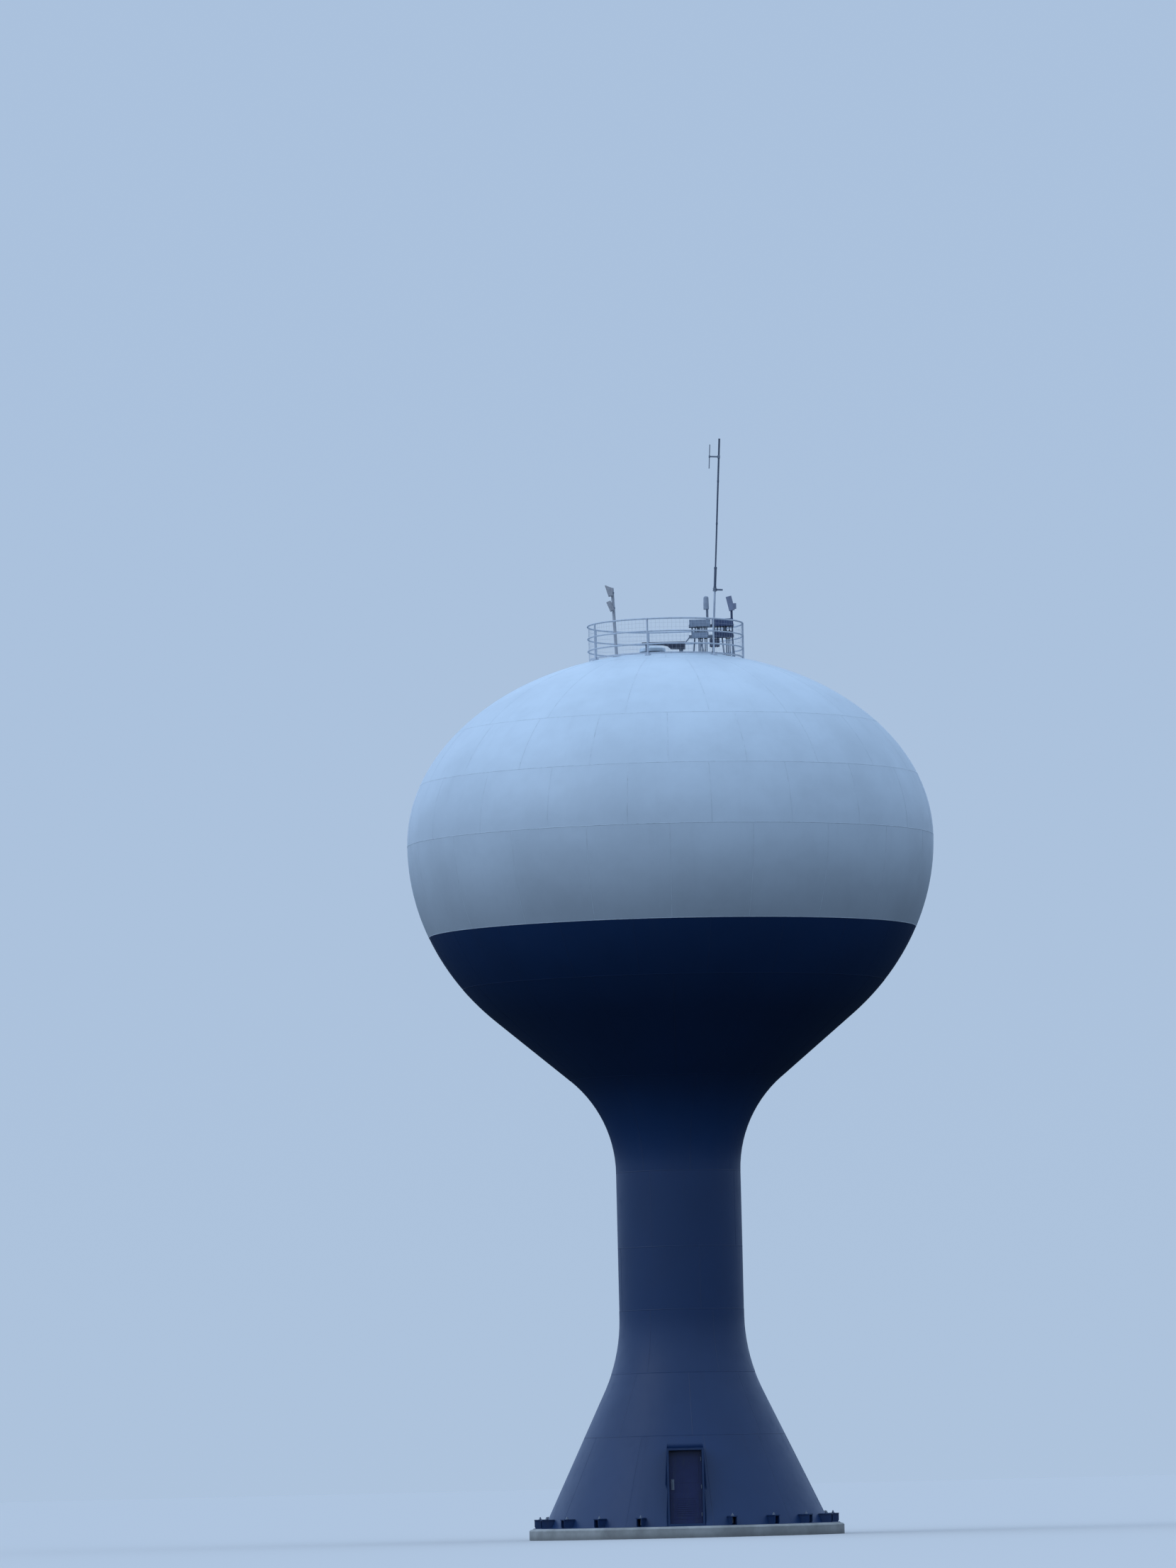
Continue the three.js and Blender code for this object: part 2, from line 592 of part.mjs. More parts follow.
// Short antennas that stand on the rack's top beam
function addStubAntennas() {
  const beamTop = RACK_TOP.low + RACK.beam + SEAT;
  const { poleX, headX, pole, headLow, headHigh, foot, tip } = LEFT_STUB;
  const left = joined([
    upright(poleX, RACK.y, beamTop, headLow + BURY, pole),
    upright(headX, RACK.y, headLow, headHigh, foot, tip, 12),
  ]);
  addMesh('stub_antenna_left', toGeometry(left), paleCase);

  const { x, low, width, depth, height } = RIGHT_PANEL;
  const panel = block([-width / 2, -depth / 2, 0], [width / 2, depth / 2, height]);
  const right = joined([
    upright(RIGHT_STUB.poleX, RACK.y, beamTop, RIGHT_STUB.poleTop, RIGHT_STUB.pole),
    leaned(panel, x, RACK.y, low, RIGHT_STUB.tilt),
    block(
      [RIGHT_UNIT.left, RACK.y - RIGHT_UNIT.depth / 2, RIGHT_UNIT.low],
      [RIGHT_UNIT.right, RACK.y + RIGHT_UNIT.depth / 2, RIGHT_UNIT.high],
    ),
  ]);
  addMesh('stub_antenna_right', toGeometry(right), darkCase);
}

// The leaning pole by the handrail's left side, with two small radio units in front of it
function addLeftPole(dome) {
  const { x, y, lean, radius, top } = LEFT_POLE;
  const baseZ = domeHeight(Math.hypot(x, y));
  const length = (top - baseZ) / Math.cos(lean);
  const { half, below, rise } = POLE_FOOT;
  const pole = leaned(upright(0, 0, -below, length, radius), x, y, baseZ, lean);
  const foot = block([x - half, y - half, baseZ - below], [x + half, y + half, baseZ + rise]);
  addMesh('left_pole', toGeometry(joined([pole, foot]).subtract(dome)), galvanised);

  const { depth, front, armHalf } = POLE_UNIT;
  for (const { name, drop, outline } of POLE_UNITS) {
    const middle = length - drop;
    const shape = new THREE.Shape(outline.map(([across, up]) => new THREE.Vector2(across, up)));
    const body = new THREE.ExtrudeGeometry(shape, { depth, bevelEnabled: false });
    body.rotateX(Math.PI / 2).translate(0, depth / 2 - front, length);
    const arm = block([-armHalf, -front, middle - armHalf], [armHalf, -radius - SEAT, middle + armHalf]);
    const group = leaningGroup(x, y, baseZ, lean);
    addMesh(name, toGeometry(joined([body, arm])), paleCase, group);
  }
}

// The tapered cable trough that leads over the crown to the rack
function addCableTrough(dome) {
  const { thin, thick, top, width } = TROUGH;
  const side = new THREE.Shape([
    ...TROUGH_DEPTHS.map(([x, depth]) => new THREE.Vector2(x, top - depth)),
    new THREE.Vector2(thick, top),
    new THREE.Vector2(thin, top),
  ]);
  const trough = new THREE.ExtrudeGeometry(side, { depth: width, bevelEnabled: false });
  trough.rotateX(Math.PI / 2).translate(0, RACK.y + width / 2, 0);
  const { inset, thin: thinLeg, thick: thickLeg } = TROUGH_LEG;
  const legFoot = CROWN_Z + 200;
  const { drop, rise, radius: strutRadius } = TROUGH_STRUT;
  const strut = [
    [thick - BURY, RACK.y, top - drop],
    [RACK.left + BURY, RACK.y, RACK_LOWER.low + rise],
  ];
  const half = RACK.depth / 2 + SEAT;
  const beamSpace = toSolid(block(
    [RACK.left - SEAT, RACK.y - half, RACK_LOWER.low - SEAT],
    [RACK.right, RACK.y + half, RACK_LOWER.low + RACK.beam + SEAT],
  ));
  const body = joined([
    trough,
    upright(thin + inset, RACK.y, legFoot, top - BURY, thinLeg, thinLeg, 8),
    upright(thick - inset, RACK.y, legFoot, top - BURY, thickLeg, thickLeg, 8),
    bar(...strut, strutRadius),
  ]);
  addMesh('cable_trough', toGeometry(body.subtract(dome).subtract(beamSpace)), darkCase);
}

// The level plate that closes the tank's foot above the shaft
function addTankFloor() {
  const top = THROAT_TOP_Z + FLOOR_THICKNESS;
  const lowRadius = pointAt(innerFace, THROAT_TOP_Z)[0] - SEAT;
  const highRadius = pointAt(innerFace, top)[0] - SEAT;
  const outline = [[0, THROAT_TOP_Z], [lowRadius, THROAT_TOP_Z], [highRadius, top], [0, top]];
  addMesh('tank_floor', turned(outline), navy);
}

const door = doorParts();
const dome = filledSpace(CROWN_Z - 800, APEX_Z);
addFoundation();
addBaseRing();
addCourses(door.space);
addDoor(door);
addTankFloor();
addCrown();
addHatch();
addVent();
addHandrail(dome);
addRack(dome, addMast(dome));
addRackBoxes();
addStubAntennas();
addLeftPole(dome);
addCableTrough(dome);

export default tower;
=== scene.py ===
"""Looks of a single-pedestal spheroid water tower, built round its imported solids.

Metres, +Z up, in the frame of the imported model. The front faces -Y and +X is to its right.
"""

import logging
import math
from dataclasses import dataclass
from enum import Enum
from typing import Any, Callable, Iterable, Sequence

import bpy
import numpy as np
from mathutils import Matrix, Quaternion, Vector, noise


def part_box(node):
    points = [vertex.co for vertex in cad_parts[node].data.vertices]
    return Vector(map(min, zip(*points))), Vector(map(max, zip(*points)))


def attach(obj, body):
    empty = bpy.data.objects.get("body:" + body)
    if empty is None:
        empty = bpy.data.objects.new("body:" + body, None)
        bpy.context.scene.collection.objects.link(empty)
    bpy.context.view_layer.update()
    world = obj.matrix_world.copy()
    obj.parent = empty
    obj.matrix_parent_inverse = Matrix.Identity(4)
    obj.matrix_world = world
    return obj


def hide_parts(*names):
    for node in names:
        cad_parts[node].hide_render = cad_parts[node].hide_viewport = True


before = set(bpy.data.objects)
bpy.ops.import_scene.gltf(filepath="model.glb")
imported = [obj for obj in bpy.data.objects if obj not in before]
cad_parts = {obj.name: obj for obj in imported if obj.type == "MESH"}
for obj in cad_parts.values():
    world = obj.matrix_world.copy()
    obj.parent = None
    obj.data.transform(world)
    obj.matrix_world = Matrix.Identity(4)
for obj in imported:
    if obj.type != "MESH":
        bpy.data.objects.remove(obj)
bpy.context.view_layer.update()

log = logging.getLogger("water_tower")

BODY = "root"
ROUND = 256
SKIN_INSET = 0.005
PLATE_THICKNESS = 0.06
SHARP_ANGLE = math.radians(32)
BEVEL_ANGLE = math.radians(40)
FULL_TURN = 2 * math.pi
RIGHT_ANGLE = math.pi / 2

# The radius that stands for the axis, where a turned outline starts or ends
AXIS = 0.0001

Colour = tuple[float, float, float]
Place = tuple[float, float, float]
Outline = Sequence[tuple[float, float]]
Stops = Sequence[tuple[float, Colour]]
Corner = Sequence[float]
Turn = Matrix | None
Socket = bpy.types.NodeSocket
Material = bpy.types.Material
Piece = bpy.types.Object


class Slot(Enum):
    """The material slots."""

    WHITE = "white_paint"
    NAVY = "navy_paint"
    GALVANISED = "galvanised_steel"
    DARK = "dark_equipment"
    GREY = "grey_equipment"
    DOOR = "door_paint"
    CONCRETE = "concrete"


class Nodes:
    """A node tree, put together a step at a time."""

    def __init__(self, tree: bpy.types.NodeTree) -> None:
        """Keeps the tree that the nodes go into."""
        self.tree = tree

    def node(self, kind: str, inputs: dict[Any, Any] | None = None, **settings: Any) -> bpy.types.Node:
        """Adds a node.

        Args:
            kind: Blender's name for the kind of node.
            inputs: Values or sockets by input name or number.
            **settings: Properties of the node.

        Returns:
            The new node.
        """
        made = self.tree.nodes.new(kind)
        for key, value in settings.items():
            setattr(made, key, value)
        for key, value in (inputs or {}).items():
            self.feed(made.inputs[key], value)
        return made

    def feed(self, socket: Socket, value: Any) -> None:
        """Links a socket to another, or sets its value.

        Args:
            socket: The socket.
            value: What feeds it.
        """
        if isinstance(value, Socket):
            self.tree.links.new(value, socket)
        elif socket.type == "RGBA" and len(value) == 3:
            socket.default_value = (*value, 1.0)
        else:
            socket.default_value = value


class Graph(Nodes):
    """One material's node tree."""

    def __init__(self, name: str) -> None:
        """Starts a material with a bare shader.

        Args:
            name: The material's name.
        """
        self.material = bpy.data.materials.new(name)
        self.material.use_nodes = True
        super().__init__(self.material.node_tree)
        self.shader = self.tree.nodes["Principled BSDF"]

    def math(self, operation: str, first: Any, second: Any = 0.0, clamp: bool = False) -> Socket:
        """One sum on two numbers."""
        made = self.node("ShaderNodeMath", {0: first, 1: second}, operation=operation, use_clamp=clamp)
        return made.outputs[0]

    def total(self, *parts: tuple[Any, float]) -> Socket:
        """Adds some values up, each times its own share.

        Args:
            *parts: Each value with its share.

        Returns:
            The sum.
        """
        whole = self.math("MULTIPLY", *parts[0])
        for value, share in parts[1:]:
            whole = self.math("ADD", whole, self.math("MULTIPLY", value, share))
        return whole

    def vector(self, operation: str, first: Any, second: Any = (0.0, 0.0, 0.0)) -> bpy.types.Node:
        """One sum on two vectors, as a node."""
        return self.node("ShaderNodeVectorMath", {0: first, 1: second}, operation=operation)

    def noise(self, place: Any, scale: float, detail: float = 4.0, rough: float = 0.5) -> Socket:
        """Cloudy noise from 0 to 1 at a scale in turns per metre."""
        inputs = {"Vector": place, "Scale": scale, "Detail": detail, "Roughness": rough}
        return self.node("ShaderNodeTexNoise", inputs).outputs["Fac"]

    def cells(self, place: Any, scale: float, output: str) -> Socket:
        """One output of a pattern of cells at a scale in cells per metre."""
        return self.node("ShaderNodeTexVoronoi", {"Vector": place, "Scale": scale}).outputs[output]

    def squeeze(self, place: Any, upright: float) -> Socket:
        """The place with its height scaled, which draws a pattern out into upright runs."""
        inputs = {"Vector": place, "Scale": (1.0, 1.0, upright)}
        return self.node("ShaderNodeMapping", inputs).outputs[0]

    def ramp(self, value: Any, low: float, high: float, top: float = 1.0) -> Socket:
        """A smooth step of value from 0 at low to top at high."""
        inputs = {"Value": value, "From Min": low, "From Max": high, "To Min": 0.0, "To Max": top}
        return self.node("ShaderNodeMapRange", inputs, interpolation_type="SMOOTHSTEP").outputs[0]

    def mix(self, share: Any, first: Any, second: Any) -> Socket:
        """Lays a share of a second colour over a first."""
        return self.node("ShaderNodeMix", {0: share, 6: first, 7: second}, data_type="RGBA").outputs[2]

    def bump(self, height: Any, depth: float, strength: float = 1.0) -> None:
        """Gives the shader a bump, over any bump it has.

        Args:
            height: How high each point of the bump is, from 0 to 1.
            depth: The bump's full height in metres.
            strength: How strongly it shows.
        """
        inputs = {"Height": height, "Distance": depth, "Strength": strength}
        made = self.node("ShaderNodeBump", inputs)
        old = self.shader.inputs["Normal"].links
        if old:
            self.tree.links.new(old[0].from_socket, made.inputs["Normal"])
        self.tree.links.new(made.outputs[0], self.shader.inputs["Normal"])

    def set(self, **inputs: Any) -> None:
        """Feeds the shader's sockets, with _ in a name for a space."""
        for key, value in inputs.items():
            self.feed(self.shader.inputs[key.replace("_", " ")], value)

    def object_place(self) -> Socket:
        """The surface point in the tower's own frame."""
        return self.node("ShaderNodeTexCoord").outputs["Object"]


def times(colour: Colour, share: float) -> Colour:
    """A colour made darker or lighter, and never over full."""
    return tuple(min(1.0, share * c) for c in colour)


@dataclass(frozen=True)
class PlatePaint:
    """Weathered coating on one course of welded plate, with painted shade that can darken it towards its
    foot.

    Streaks run down the meridians, dirt gathers under the girth seams and each plate has a tone of its own.
    """

    name: str
    colour: Colour
    # The dirt colour, which the painted shade towards the course's foot also mixes towards
    dirt: Colour
    dirtiness: float
    plates: int
    offset: float
    low: float
    high: float
    # How strongly painted shade darkens the course from its top seam down to its foot
    painted_foot_shade: float = 0.0
    roughness: float = 0.42
    seam_reach: float = 0.06
    run_reach: float = 1.1

    def build(self) -> Material:
        """Makes the material.

        Returns:
            The material.
        """
        g = Graph(self.name)
        place = g.object_place()
        mottle = g.noise(place, 0.32, 5.0, 0.6)
        fine = g.noise(place, 2.4, 6.0, 0.62)
        apart = g.node("ShaderNodeSeparateXYZ", {0: place})
        x, y, z = (apart.outputs[i] for i in range(3))
        flat = g.node("ShaderNodeCombineXYZ", {0: x, 1: y, 2: 0.0}).outputs[0]
        turn = g.math("DIVIDE", g.math("ARCTAN2", x, y), FULL_TURN)
        phase = g.math("ADD", g.math("MULTIPLY", turn, self.plates), self.offset + self.plates)

        darker = times(self.colour, 0.92)
        tone = g.node("ShaderNodeTexWhiteNoise", {"W": g.math("FLOOR", phase)}, noise_dimensions="1D")
        colour = g.mix(g.ramp(mottle, 0.3, 0.7), darker, times(self.colour, 1.06))
        colour = g.mix(g.math("MULTIPLY", tone.outputs["Value"], 0.16), colour, darker)
        # The soil mask holds the dirt and also the painted shade towards the course's foot
        soil = self.soil(g, flat, z, phase, fine)
        colour = g.mix(g.math("MULTIPLY", soil, self.dirtiness, clamp=True), colour, self.dirt)

        shine = g.math("ADD", self.roughness, g.math("MULTIPLY", soil, 0.25))
        shine = g.math("ADD", shine, g.math("MULTIPLY", g.math("SUBTRACT", fine, 0.5), 0.12), clamp=True)
        g.set(Base_Color=colour, Roughness=shine)
        g.shader.inputs["Specular IOR Level"].default_value = 0.42
        g.bump(mottle, 0.02, 0.35)
        g.bump(g.noise(place, 55.0, 2.0), 0.0006, 0.5)
        return g.material

    def soil(self, g: Graph, flat: Socket, z: Socket, phase: Socket, fine: Socket) -> Socket:
        """How much dirt lies on the plate, with the painted shade that darkens the course towards its foot
        added in.

        Args:
            g: The material's nodes.
            flat: The place with no height.
            z: The height.
            phase: The place round the course, counted in plates.
            fine: Fine noise over the plate.

        Returns:
            The amount of dirt and painted shade, before the course's own dirtiness.
        """
        outward = g.vector("NORMALIZE", flat).outputs[0]
        round_place = g.vector("MULTIPLY", outward, (7.0, 7.0, 7.0)).outputs[0]
        lift = g.node("ShaderNodeCombineXYZ", {0: 0.0, 1: 0.0, 2: g.math("MULTIPLY", z, 0.07)}).outputs[0]
        run = g.vector("ADD", round_place, lift).outputs[0]
        streaks = g.ramp(g.noise(run, 1.9, 7.0, 0.66), 0.5, 0.78)
        thin_streaks = g.ramp(g.noise(run, 7.5, 4.0, 0.6), 0.54, 0.8)

        to_middle = g.math("ABSOLUTE", g.math("SUBTRACT", g.math("FRACT", phase), 0.5))
        width = g.math("MULTIPLY", g.vector("LENGTH", flat).outputs["Value"], FULL_TURN / self.plates)
        upright_gap = g.math("MULTIPLY", g.math("SUBTRACT", 0.5, to_middle), width)
        top_gap = g.math("SUBTRACT", self.high, z)
        under_seam = g.ramp(top_gap, self.run_reach, 0.0)
        runs = g.math("MULTIPLY", streaks, g.math("ADD", 0.35, g.math("MULTIPLY", under_seam, 0.65)))
        soil = g.total(
            (runs, 0.42),
            (thin_streaks, 0.14),
            (g.ramp(fine, 0.5, 0.8), 0.2),
            (g.ramp(top_gap, 0.05, 0.0), 0.22),
            (g.ramp(upright_gap, self.seam_reach, 0.0), 0.16),
        )
        # Painted shade: darker from the course's top seam down to its foot, added to the dirt
        return g.math("ADD", soil, g.ramp(z, self.high, self.low, self.painted_foot_shade))


@dataclass(frozen=True)
class PlainPaint:
    """Weathered coating on fittings that are too small for plate seams."""

    name: str
    colour: Colour
    dirt: Colour
    dirtiness: float
    roughness: float = 0.45
    grain: float = 9.0

    def build(self) -> Material:
        """Makes the material.

        Returns:
            The material.
        """
        g = Graph(self.name)
        place = g.object_place()
        cloud = g.noise(place, self.grain * 0.35, 5.0, 0.6)
        runs = g.ramp(g.noise(g.squeeze(place, 0.22), self.grain, 6.0, 0.65), 0.48, 0.75)
        soil = g.math("MULTIPLY", runs, self.dirtiness, clamp=True)
        colour = g.mix(g.ramp(cloud, 0.3, 0.7), times(self.colour, 0.85), self.colour)
        shine = g.math("ADD", self.roughness, g.math("MULTIPLY", soil, 0.3), clamp=True)
        g.set(Base_Color=g.mix(soil, colour, self.dirt), Roughness=shine)
        g.bump(g.noise(place, 140.0, 2.0), 0.0004, 0.5)
        return g.material


@dataclass(frozen=True)
class Galvanised:
    """Dull zinc on steel: a faint spangle, pale bloom and darker runs."""

    name: str
    colour: Colour
    metal: float = 0.75
    roughness: float = 0.55

    def build(self) -> Material:
        """Makes the material.

        Returns:
            The material.
        """
        g = Graph(self.name)
        place = g.object_place()
        spangle = g.node("ShaderNodeSeparateColor", {0: g.cells(place, 60.0, "Color")}).outputs[0]
        runs = g.ramp(g.noise(g.squeeze(place, 0.18), 14.0, 5.0, 0.6), 0.45, 0.75)
        bloom = g.ramp(g.noise(place, 5.0, 5.0, 0.6), 0.45, 0.7)
        pale = times(self.colour, 1.18)
        colour = g.mix(g.math("MULTIPLY", spangle, 0.35), self.colour, pale)
        colour = g.mix(g.math("MULTIPLY", bloom, 0.4), colour, pale)
        colour = g.mix(g.math("MULTIPLY", runs, 0.55), colour, times(self.colour, 0.72))
        shine = g.math("ADD", self.roughness, g.math("MULTIPLY", bloom, 0.22), clamp=True)
        g.set(Base_Color=colour, Roughness=shine)
        g.shader.inputs["Metallic"].default_value = self.metal
        g.bump(g.noise(place, 90.0, 3.0), 0.0005, 0.4)
        return g.material


@dataclass(frozen=True)
class CastConcrete:
    """Cast concrete with pores, tide stains and a darker damp foot."""

    name: str
    colour: Colour
    height: float

    def build(self) -> Material:
        """Makes the material.

        Returns:
            The material.
        """
        g = Graph(self.name)
        place = g.object_place()
        z = g.node("ShaderNodeSeparateXYZ", {0: place}).outputs[2]
        cloud = g.noise(place, 0.9, 7.0, 0.62)
        sand = g.noise(place, 38.0, 4.0, 0.7)
        pits = g.ramp(g.cells(place, 22.0, "Distance"), 0.16, 0.05)
        damp = g.ramp(z, 0.6 * self.height, 0.0)
        dark = times(self.colour, 0.62)
        pale = times(self.colour, 1.12)
        colour = g.mix(g.ramp(cloud, 0.3, 0.7), dark, pale)
        colour = g.mix(g.math("MULTIPLY", sand, 0.25), colour, pale)
        colour = g.mix(g.math("MULTIPLY", pits, 0.5), colour, dark)
        colour = g.mix(g.math("MULTIPLY", damp, 0.55), colour, times(dark, 0.7))
        g.set(Base_Color=colour)
        g.shader.inputs["Roughness"].default_value = 0.9
        g.bump(g.math("SUBTRACT", sand, g.math("MULTIPLY", pits, 0.8)), 0.004, 0.7)
        return g.material


WHITE = (0.715, 0.795, 0.855)
NAVY = (0.0125, 0.042, 0.125)
DOOR_NAVY = (0.016, 0.026, 0.11)
CONCRETE = (0.46, 0.45, 0.42)
# The white dirt colour is also what the painted shade at the white course's foot mixes towards
WHITE_DIRT_AND_SHADE = (0.34, 0.375, 0.41)
NAVY_DIRT = (0.035, 0.047, 0.085)
HOUSING_DIRT = (0.12, 0.12, 0.13)


class Finishes:
    """Each finish that more than one piece wears, made once."""

    def __init__(self) -> None:
        """Makes the shared materials."""
        self.white = PlainPaint("white_coating", WHITE, WHITE_DIRT_AND_SHADE, 0.45).build()
        self.navy = PlainPaint("navy_coating", NAVY, NAVY_DIRT, 0.4).build()
        self.door = PlainPaint("door_coating", DOOR_NAVY, NAVY_DIRT, 0.5, 0.35).build()
        self.zinc = Galvanised("zinc", (0.60, 0.63, 0.68), 0.45).build()
        self.aged_zinc = Galvanised("aged_zinc", (0.51, 0.51, 0.53), 0.45).build()
        self.dull_zinc = Galvanised("dull_zinc", (0.26, 0.29, 0.34), 0.6).build()
        self.dark = self.housing("dark_housing", (0.028, 0.034, 0.06), 0.3)
        self.slate = self.housing("slate_housing", (0.055, 0.073, 0.145), 0.35)
        self.slate_blue = self.housing("slate_blue_housing", (0.083, 0.113, 0.225), 0.3)
        self.steel_blue = self.housing("steel_blue_housing", (0.09, 0.098, 0.155), 0.4)
        self.grey = self.housing("grey_housing", (0.30, 0.345, 0.42), 0.5)
        self.warm_grey = self.housing("warm_grey_housing", (0.52, 0.50, 0.51), 0.5)
        self.blue_grey = self.housing("blue_grey_housing", (0.28, 0.305, 0.405), 0.4)
        self.radome = self.housing("pale_radome", (0.42, 0.455, 0.52), 0.5)
        self.whip = self.housing("whip_sleeve", (0.112, 0.136, 0.192), 0.3, 0.45)
        self.rubber = PlainPaint("black_seal", (0.02, 0.02, 0.022), (0.1, 0.1, 0.1), 0.3, 0.7, 30.0).build()

    @staticmethod
    def housing(name: str, colour: Colour, dirtiness: float, roughness: float = 0.5) -> Material:
        """Makes the paint of one kind of equipment housing."""
        return PlainPaint(name, colour, HOUSING_DIRT, dirtiness, roughness, 16.0).build()


class Draft:
    """A mesh in the making: closed forms gathered before they become one object."""

    def __init__(self) -> None:
        """Starts with nothing."""
        self.points: list[np.ndarray] = []
        self.faces: list[tuple[int, ...]] = []
        self.finish: list[int] = []
        self.count = 0

    def add(
        self, points: np.ndarray, faces: Iterable[Sequence[int]], at: Turn = None, finish: int = 0
    ) -> None:
        """Adds one form.

        Args:
            points: Its corners, one row each.
            faces: Its faces, as numbers of rows.
            at: A turn and shift for it.
            finish: The number of its material.
        """
        points = np.asarray(points, float).reshape(-1, 3)
        if at is not None:
            m = np.array(at)
            points = points @ m[:3, :3].T + m[:3, 3]
        self.points.append(points)
        start = self.count
        before = len(self.faces)
        self.faces.extend(tuple(int(i) + start for i in face) for face in faces)
        self.finish.extend([finish] * (len(self.faces) - before))
        self.count += len(points)

    def grid(self, rows: np.ndarray, loop: bool, at: Turn = None, finish: int = 0) -> None:
        """Adds a surface from rows of points that each close round.

        Args:
            rows: Array of rows, columns and three coordinates.
            loop: True joins the last row to the first, and False caps both ends.
            at: A turn and shift for it.
            finish: The number of its material.
        """
        n, m = rows.shape[:2]
        faces: list[tuple[int, ...]] = []
        for i in range(n if loop else n - 1):
            a, b = i * m, ((i + 1) % n) * m
            faces.extend((a + j, a + (j + 1) % m, b + (j + 1) % m, b + j) for j in range(m))
        if not loop:
            faces.append(tuple(reversed(range(m))))
            faces.append(tuple(range((n - 1) * m, n * m)))
        self.add(rows.reshape(-1, 3), faces, at, finish)

    def lathe(self, outline: Outline, at: Turn = None, sides: int = 48, finish: int = 0) -> None:
        """Adds a solid turned about Z.

        Args:
            outline: Radius and height, going up the outside. It closes on itself, or is capped where it
                ends near the axis.
            at: A turn and shift for it.
            sides: How many flats go round.
            finish: The number of its material.
        """
        angles = np.linspace(0, FULL_TURN, sides, endpoint=False)
        circle = np.stack([np.cos(angles), np.sin(angles)], 1)
        rows = np.array([np.column_stack([r * circle, np.full(sides, z)]) for r, z in outline])
        closed = outline[0][0] > 5 * AXIS and outline[-1][0] > 5 * AXIS and len(outline) > 3
        self.grid(rows, closed, at, finish)

    def rod(
        self, radius: float, low: float, high: float, at: Turn = None, sides: int = 48, finish: int = 0
    ) -> None:
        """Adds a capped cylinder along Z."""
        self.lathe([(AXIS, low), (radius, low), (radius, high), (AXIS, high)], at, sides, finish)

    def stud(
        self, radius: float, low: float, high: float, chamfer: Corner, at: Matrix, sides: int, finish: int
    ) -> None:
        """Adds a capped cylinder along Z with its top edge cut back by the chamfer, inwards and down."""
        top = [(radius, high - chamfer[1]), (radius - chamfer[0], high)]
        self.lathe([(AXIS, low), (radius, low), *top, (AXIS, high)], at, sides, finish)

    def cone(self, radii: Corner, low: float, high: float, at: Matrix, sides: int) -> None:
        """Adds a capped cone along Z, with one radius at its foot and one at its top."""
        self.lathe([(AXIS, low), (radii[0], low), (radii[1], high), (AXIS, high)], at, sides)

    def ring(self, radii: Corner, low: float, high: float, at: Matrix, sides: int, finish: int = 0) -> None:
        """Adds a ring about Z between an inner and an outer radius."""
        inner, outer = radii
        self.lathe([(inner, low), (outer, low), (outer, high), (inner, high)], at, sides, finish)

    def tube(self, path: Sequence[Corner], radius: float, sides: int = 14, finish: int = 0) -> None:
        """Adds a capped round bar along a path.

        Args:
            path: The points of its middle line.
            radius: Its radius.
            sides: How many flats go round.
            finish: The number of its material.
        """
        line = np.asarray(path, float)
        along = np.gradient(line, axis=0)
        along /= np.linalg.norm(along, axis=1)[:, None]
        side = np.cross(along[0], (0.0, 0.0, 1.0) if abs(along[0][2]) < 0.9 else (1.0, 0.0, 0.0))
        angles = np.linspace(0, FULL_TURN, sides, endpoint=False)
        rows = []
        for point, axis in zip(line, along):
            side = side - axis * np.dot(side, axis)
            side /= np.linalg.norm(side)
            other = np.cross(axis, side)
            rows.append(point + radius * (np.outer(np.cos(angles), side) + np.outer(np.sin(angles), other)))
        self.grid(np.array(rows), False, None, finish)

    def post(
        self, foot: Corner, rise: float, top: float, radius: float, sides: int, finish: int = 0
    ) -> None:
        """Adds an upright bar from a foot to a height, with one more ring of points near its foot."""
        x, y, z = foot
        self.tube([(x, y, z), (x, y, z + rise), (x, y, top)], radius, sides, finish)

    def box(self, low: Corner, high: Corner, at: Turn = None, finish: int = 0) -> None:
        """Adds a box.

        Args:
            low: Its lowest corner.
            high: Its highest corner.
            at: A turn and shift for it.
            finish: The number of its material.
        """
        (x0, y0, z0), (x1, y1, z1) = low, high
        points = [(x0, y0, z0), (x1, y0, z0), (x1, y1, z0), (x0, y1, z0)]
        points += [(x0, y0, z1), (x1, y0, z1), (x1, y1, z1), (x0, y1, z1)]
        faces = [(3, 2, 1, 0), (4, 5, 6, 7), (0, 1, 5, 4), (1, 2, 6, 5), (2, 3, 7, 6), (3, 0, 4, 7)]
        self.add(np.array(points), faces, at, finish)

    def prism(self, outline: Outline, depth: Corner, at: Turn = None) -> None:
        """Adds a flat shape pushed along Y.

        Args:
            outline: The shape's corners in X and Z.
            depth: Where it starts and ends along Y.
            at: A turn and shift for it.
        """
        flat = np.array(outline, float)
        rows = [np.column_stack([flat[:, 0], np.full(len(flat), y), flat[:, 1]]) for y in reversed(depth)]
        self.grid(np.array(rows), False, at)

    def bolt(self, at: Matrix, size: float) -> None:
        """Adds a hexagon head on a washer.

        Args:
            at: The frame that it stands on.
            size: The bolt's diameter.
        """
        washer = 0.18 * size
        top = 0.85 * size
        self.rod(1.25 * size, 0.0, washer, at, 16)
        head = [(AXIS, washer), (0.95 * size, washer), (0.95 * size, 0.72 * size), (0.82 * size, top)]
        self.lathe([*head, (AXIS, top)], at, 6)

    def bolts(self, at: Matrix, reach: float, top: float, size: float, rows: Corner = (-1, 1)) -> None:
        """Adds bolts on a plate, one at each side in each row across it.

        Args:
            at: The plate's frame.
            reach: How far the bolts are from its middle, both ways.
            top: The plate's top.
            size: The bolts' diameter.
            rows: The rows, as shares of the reach.
        """
        for side in (-1, 1):
            for row in rows:
                self.bolt(at @ shift(side * reach, row * reach, top), size)

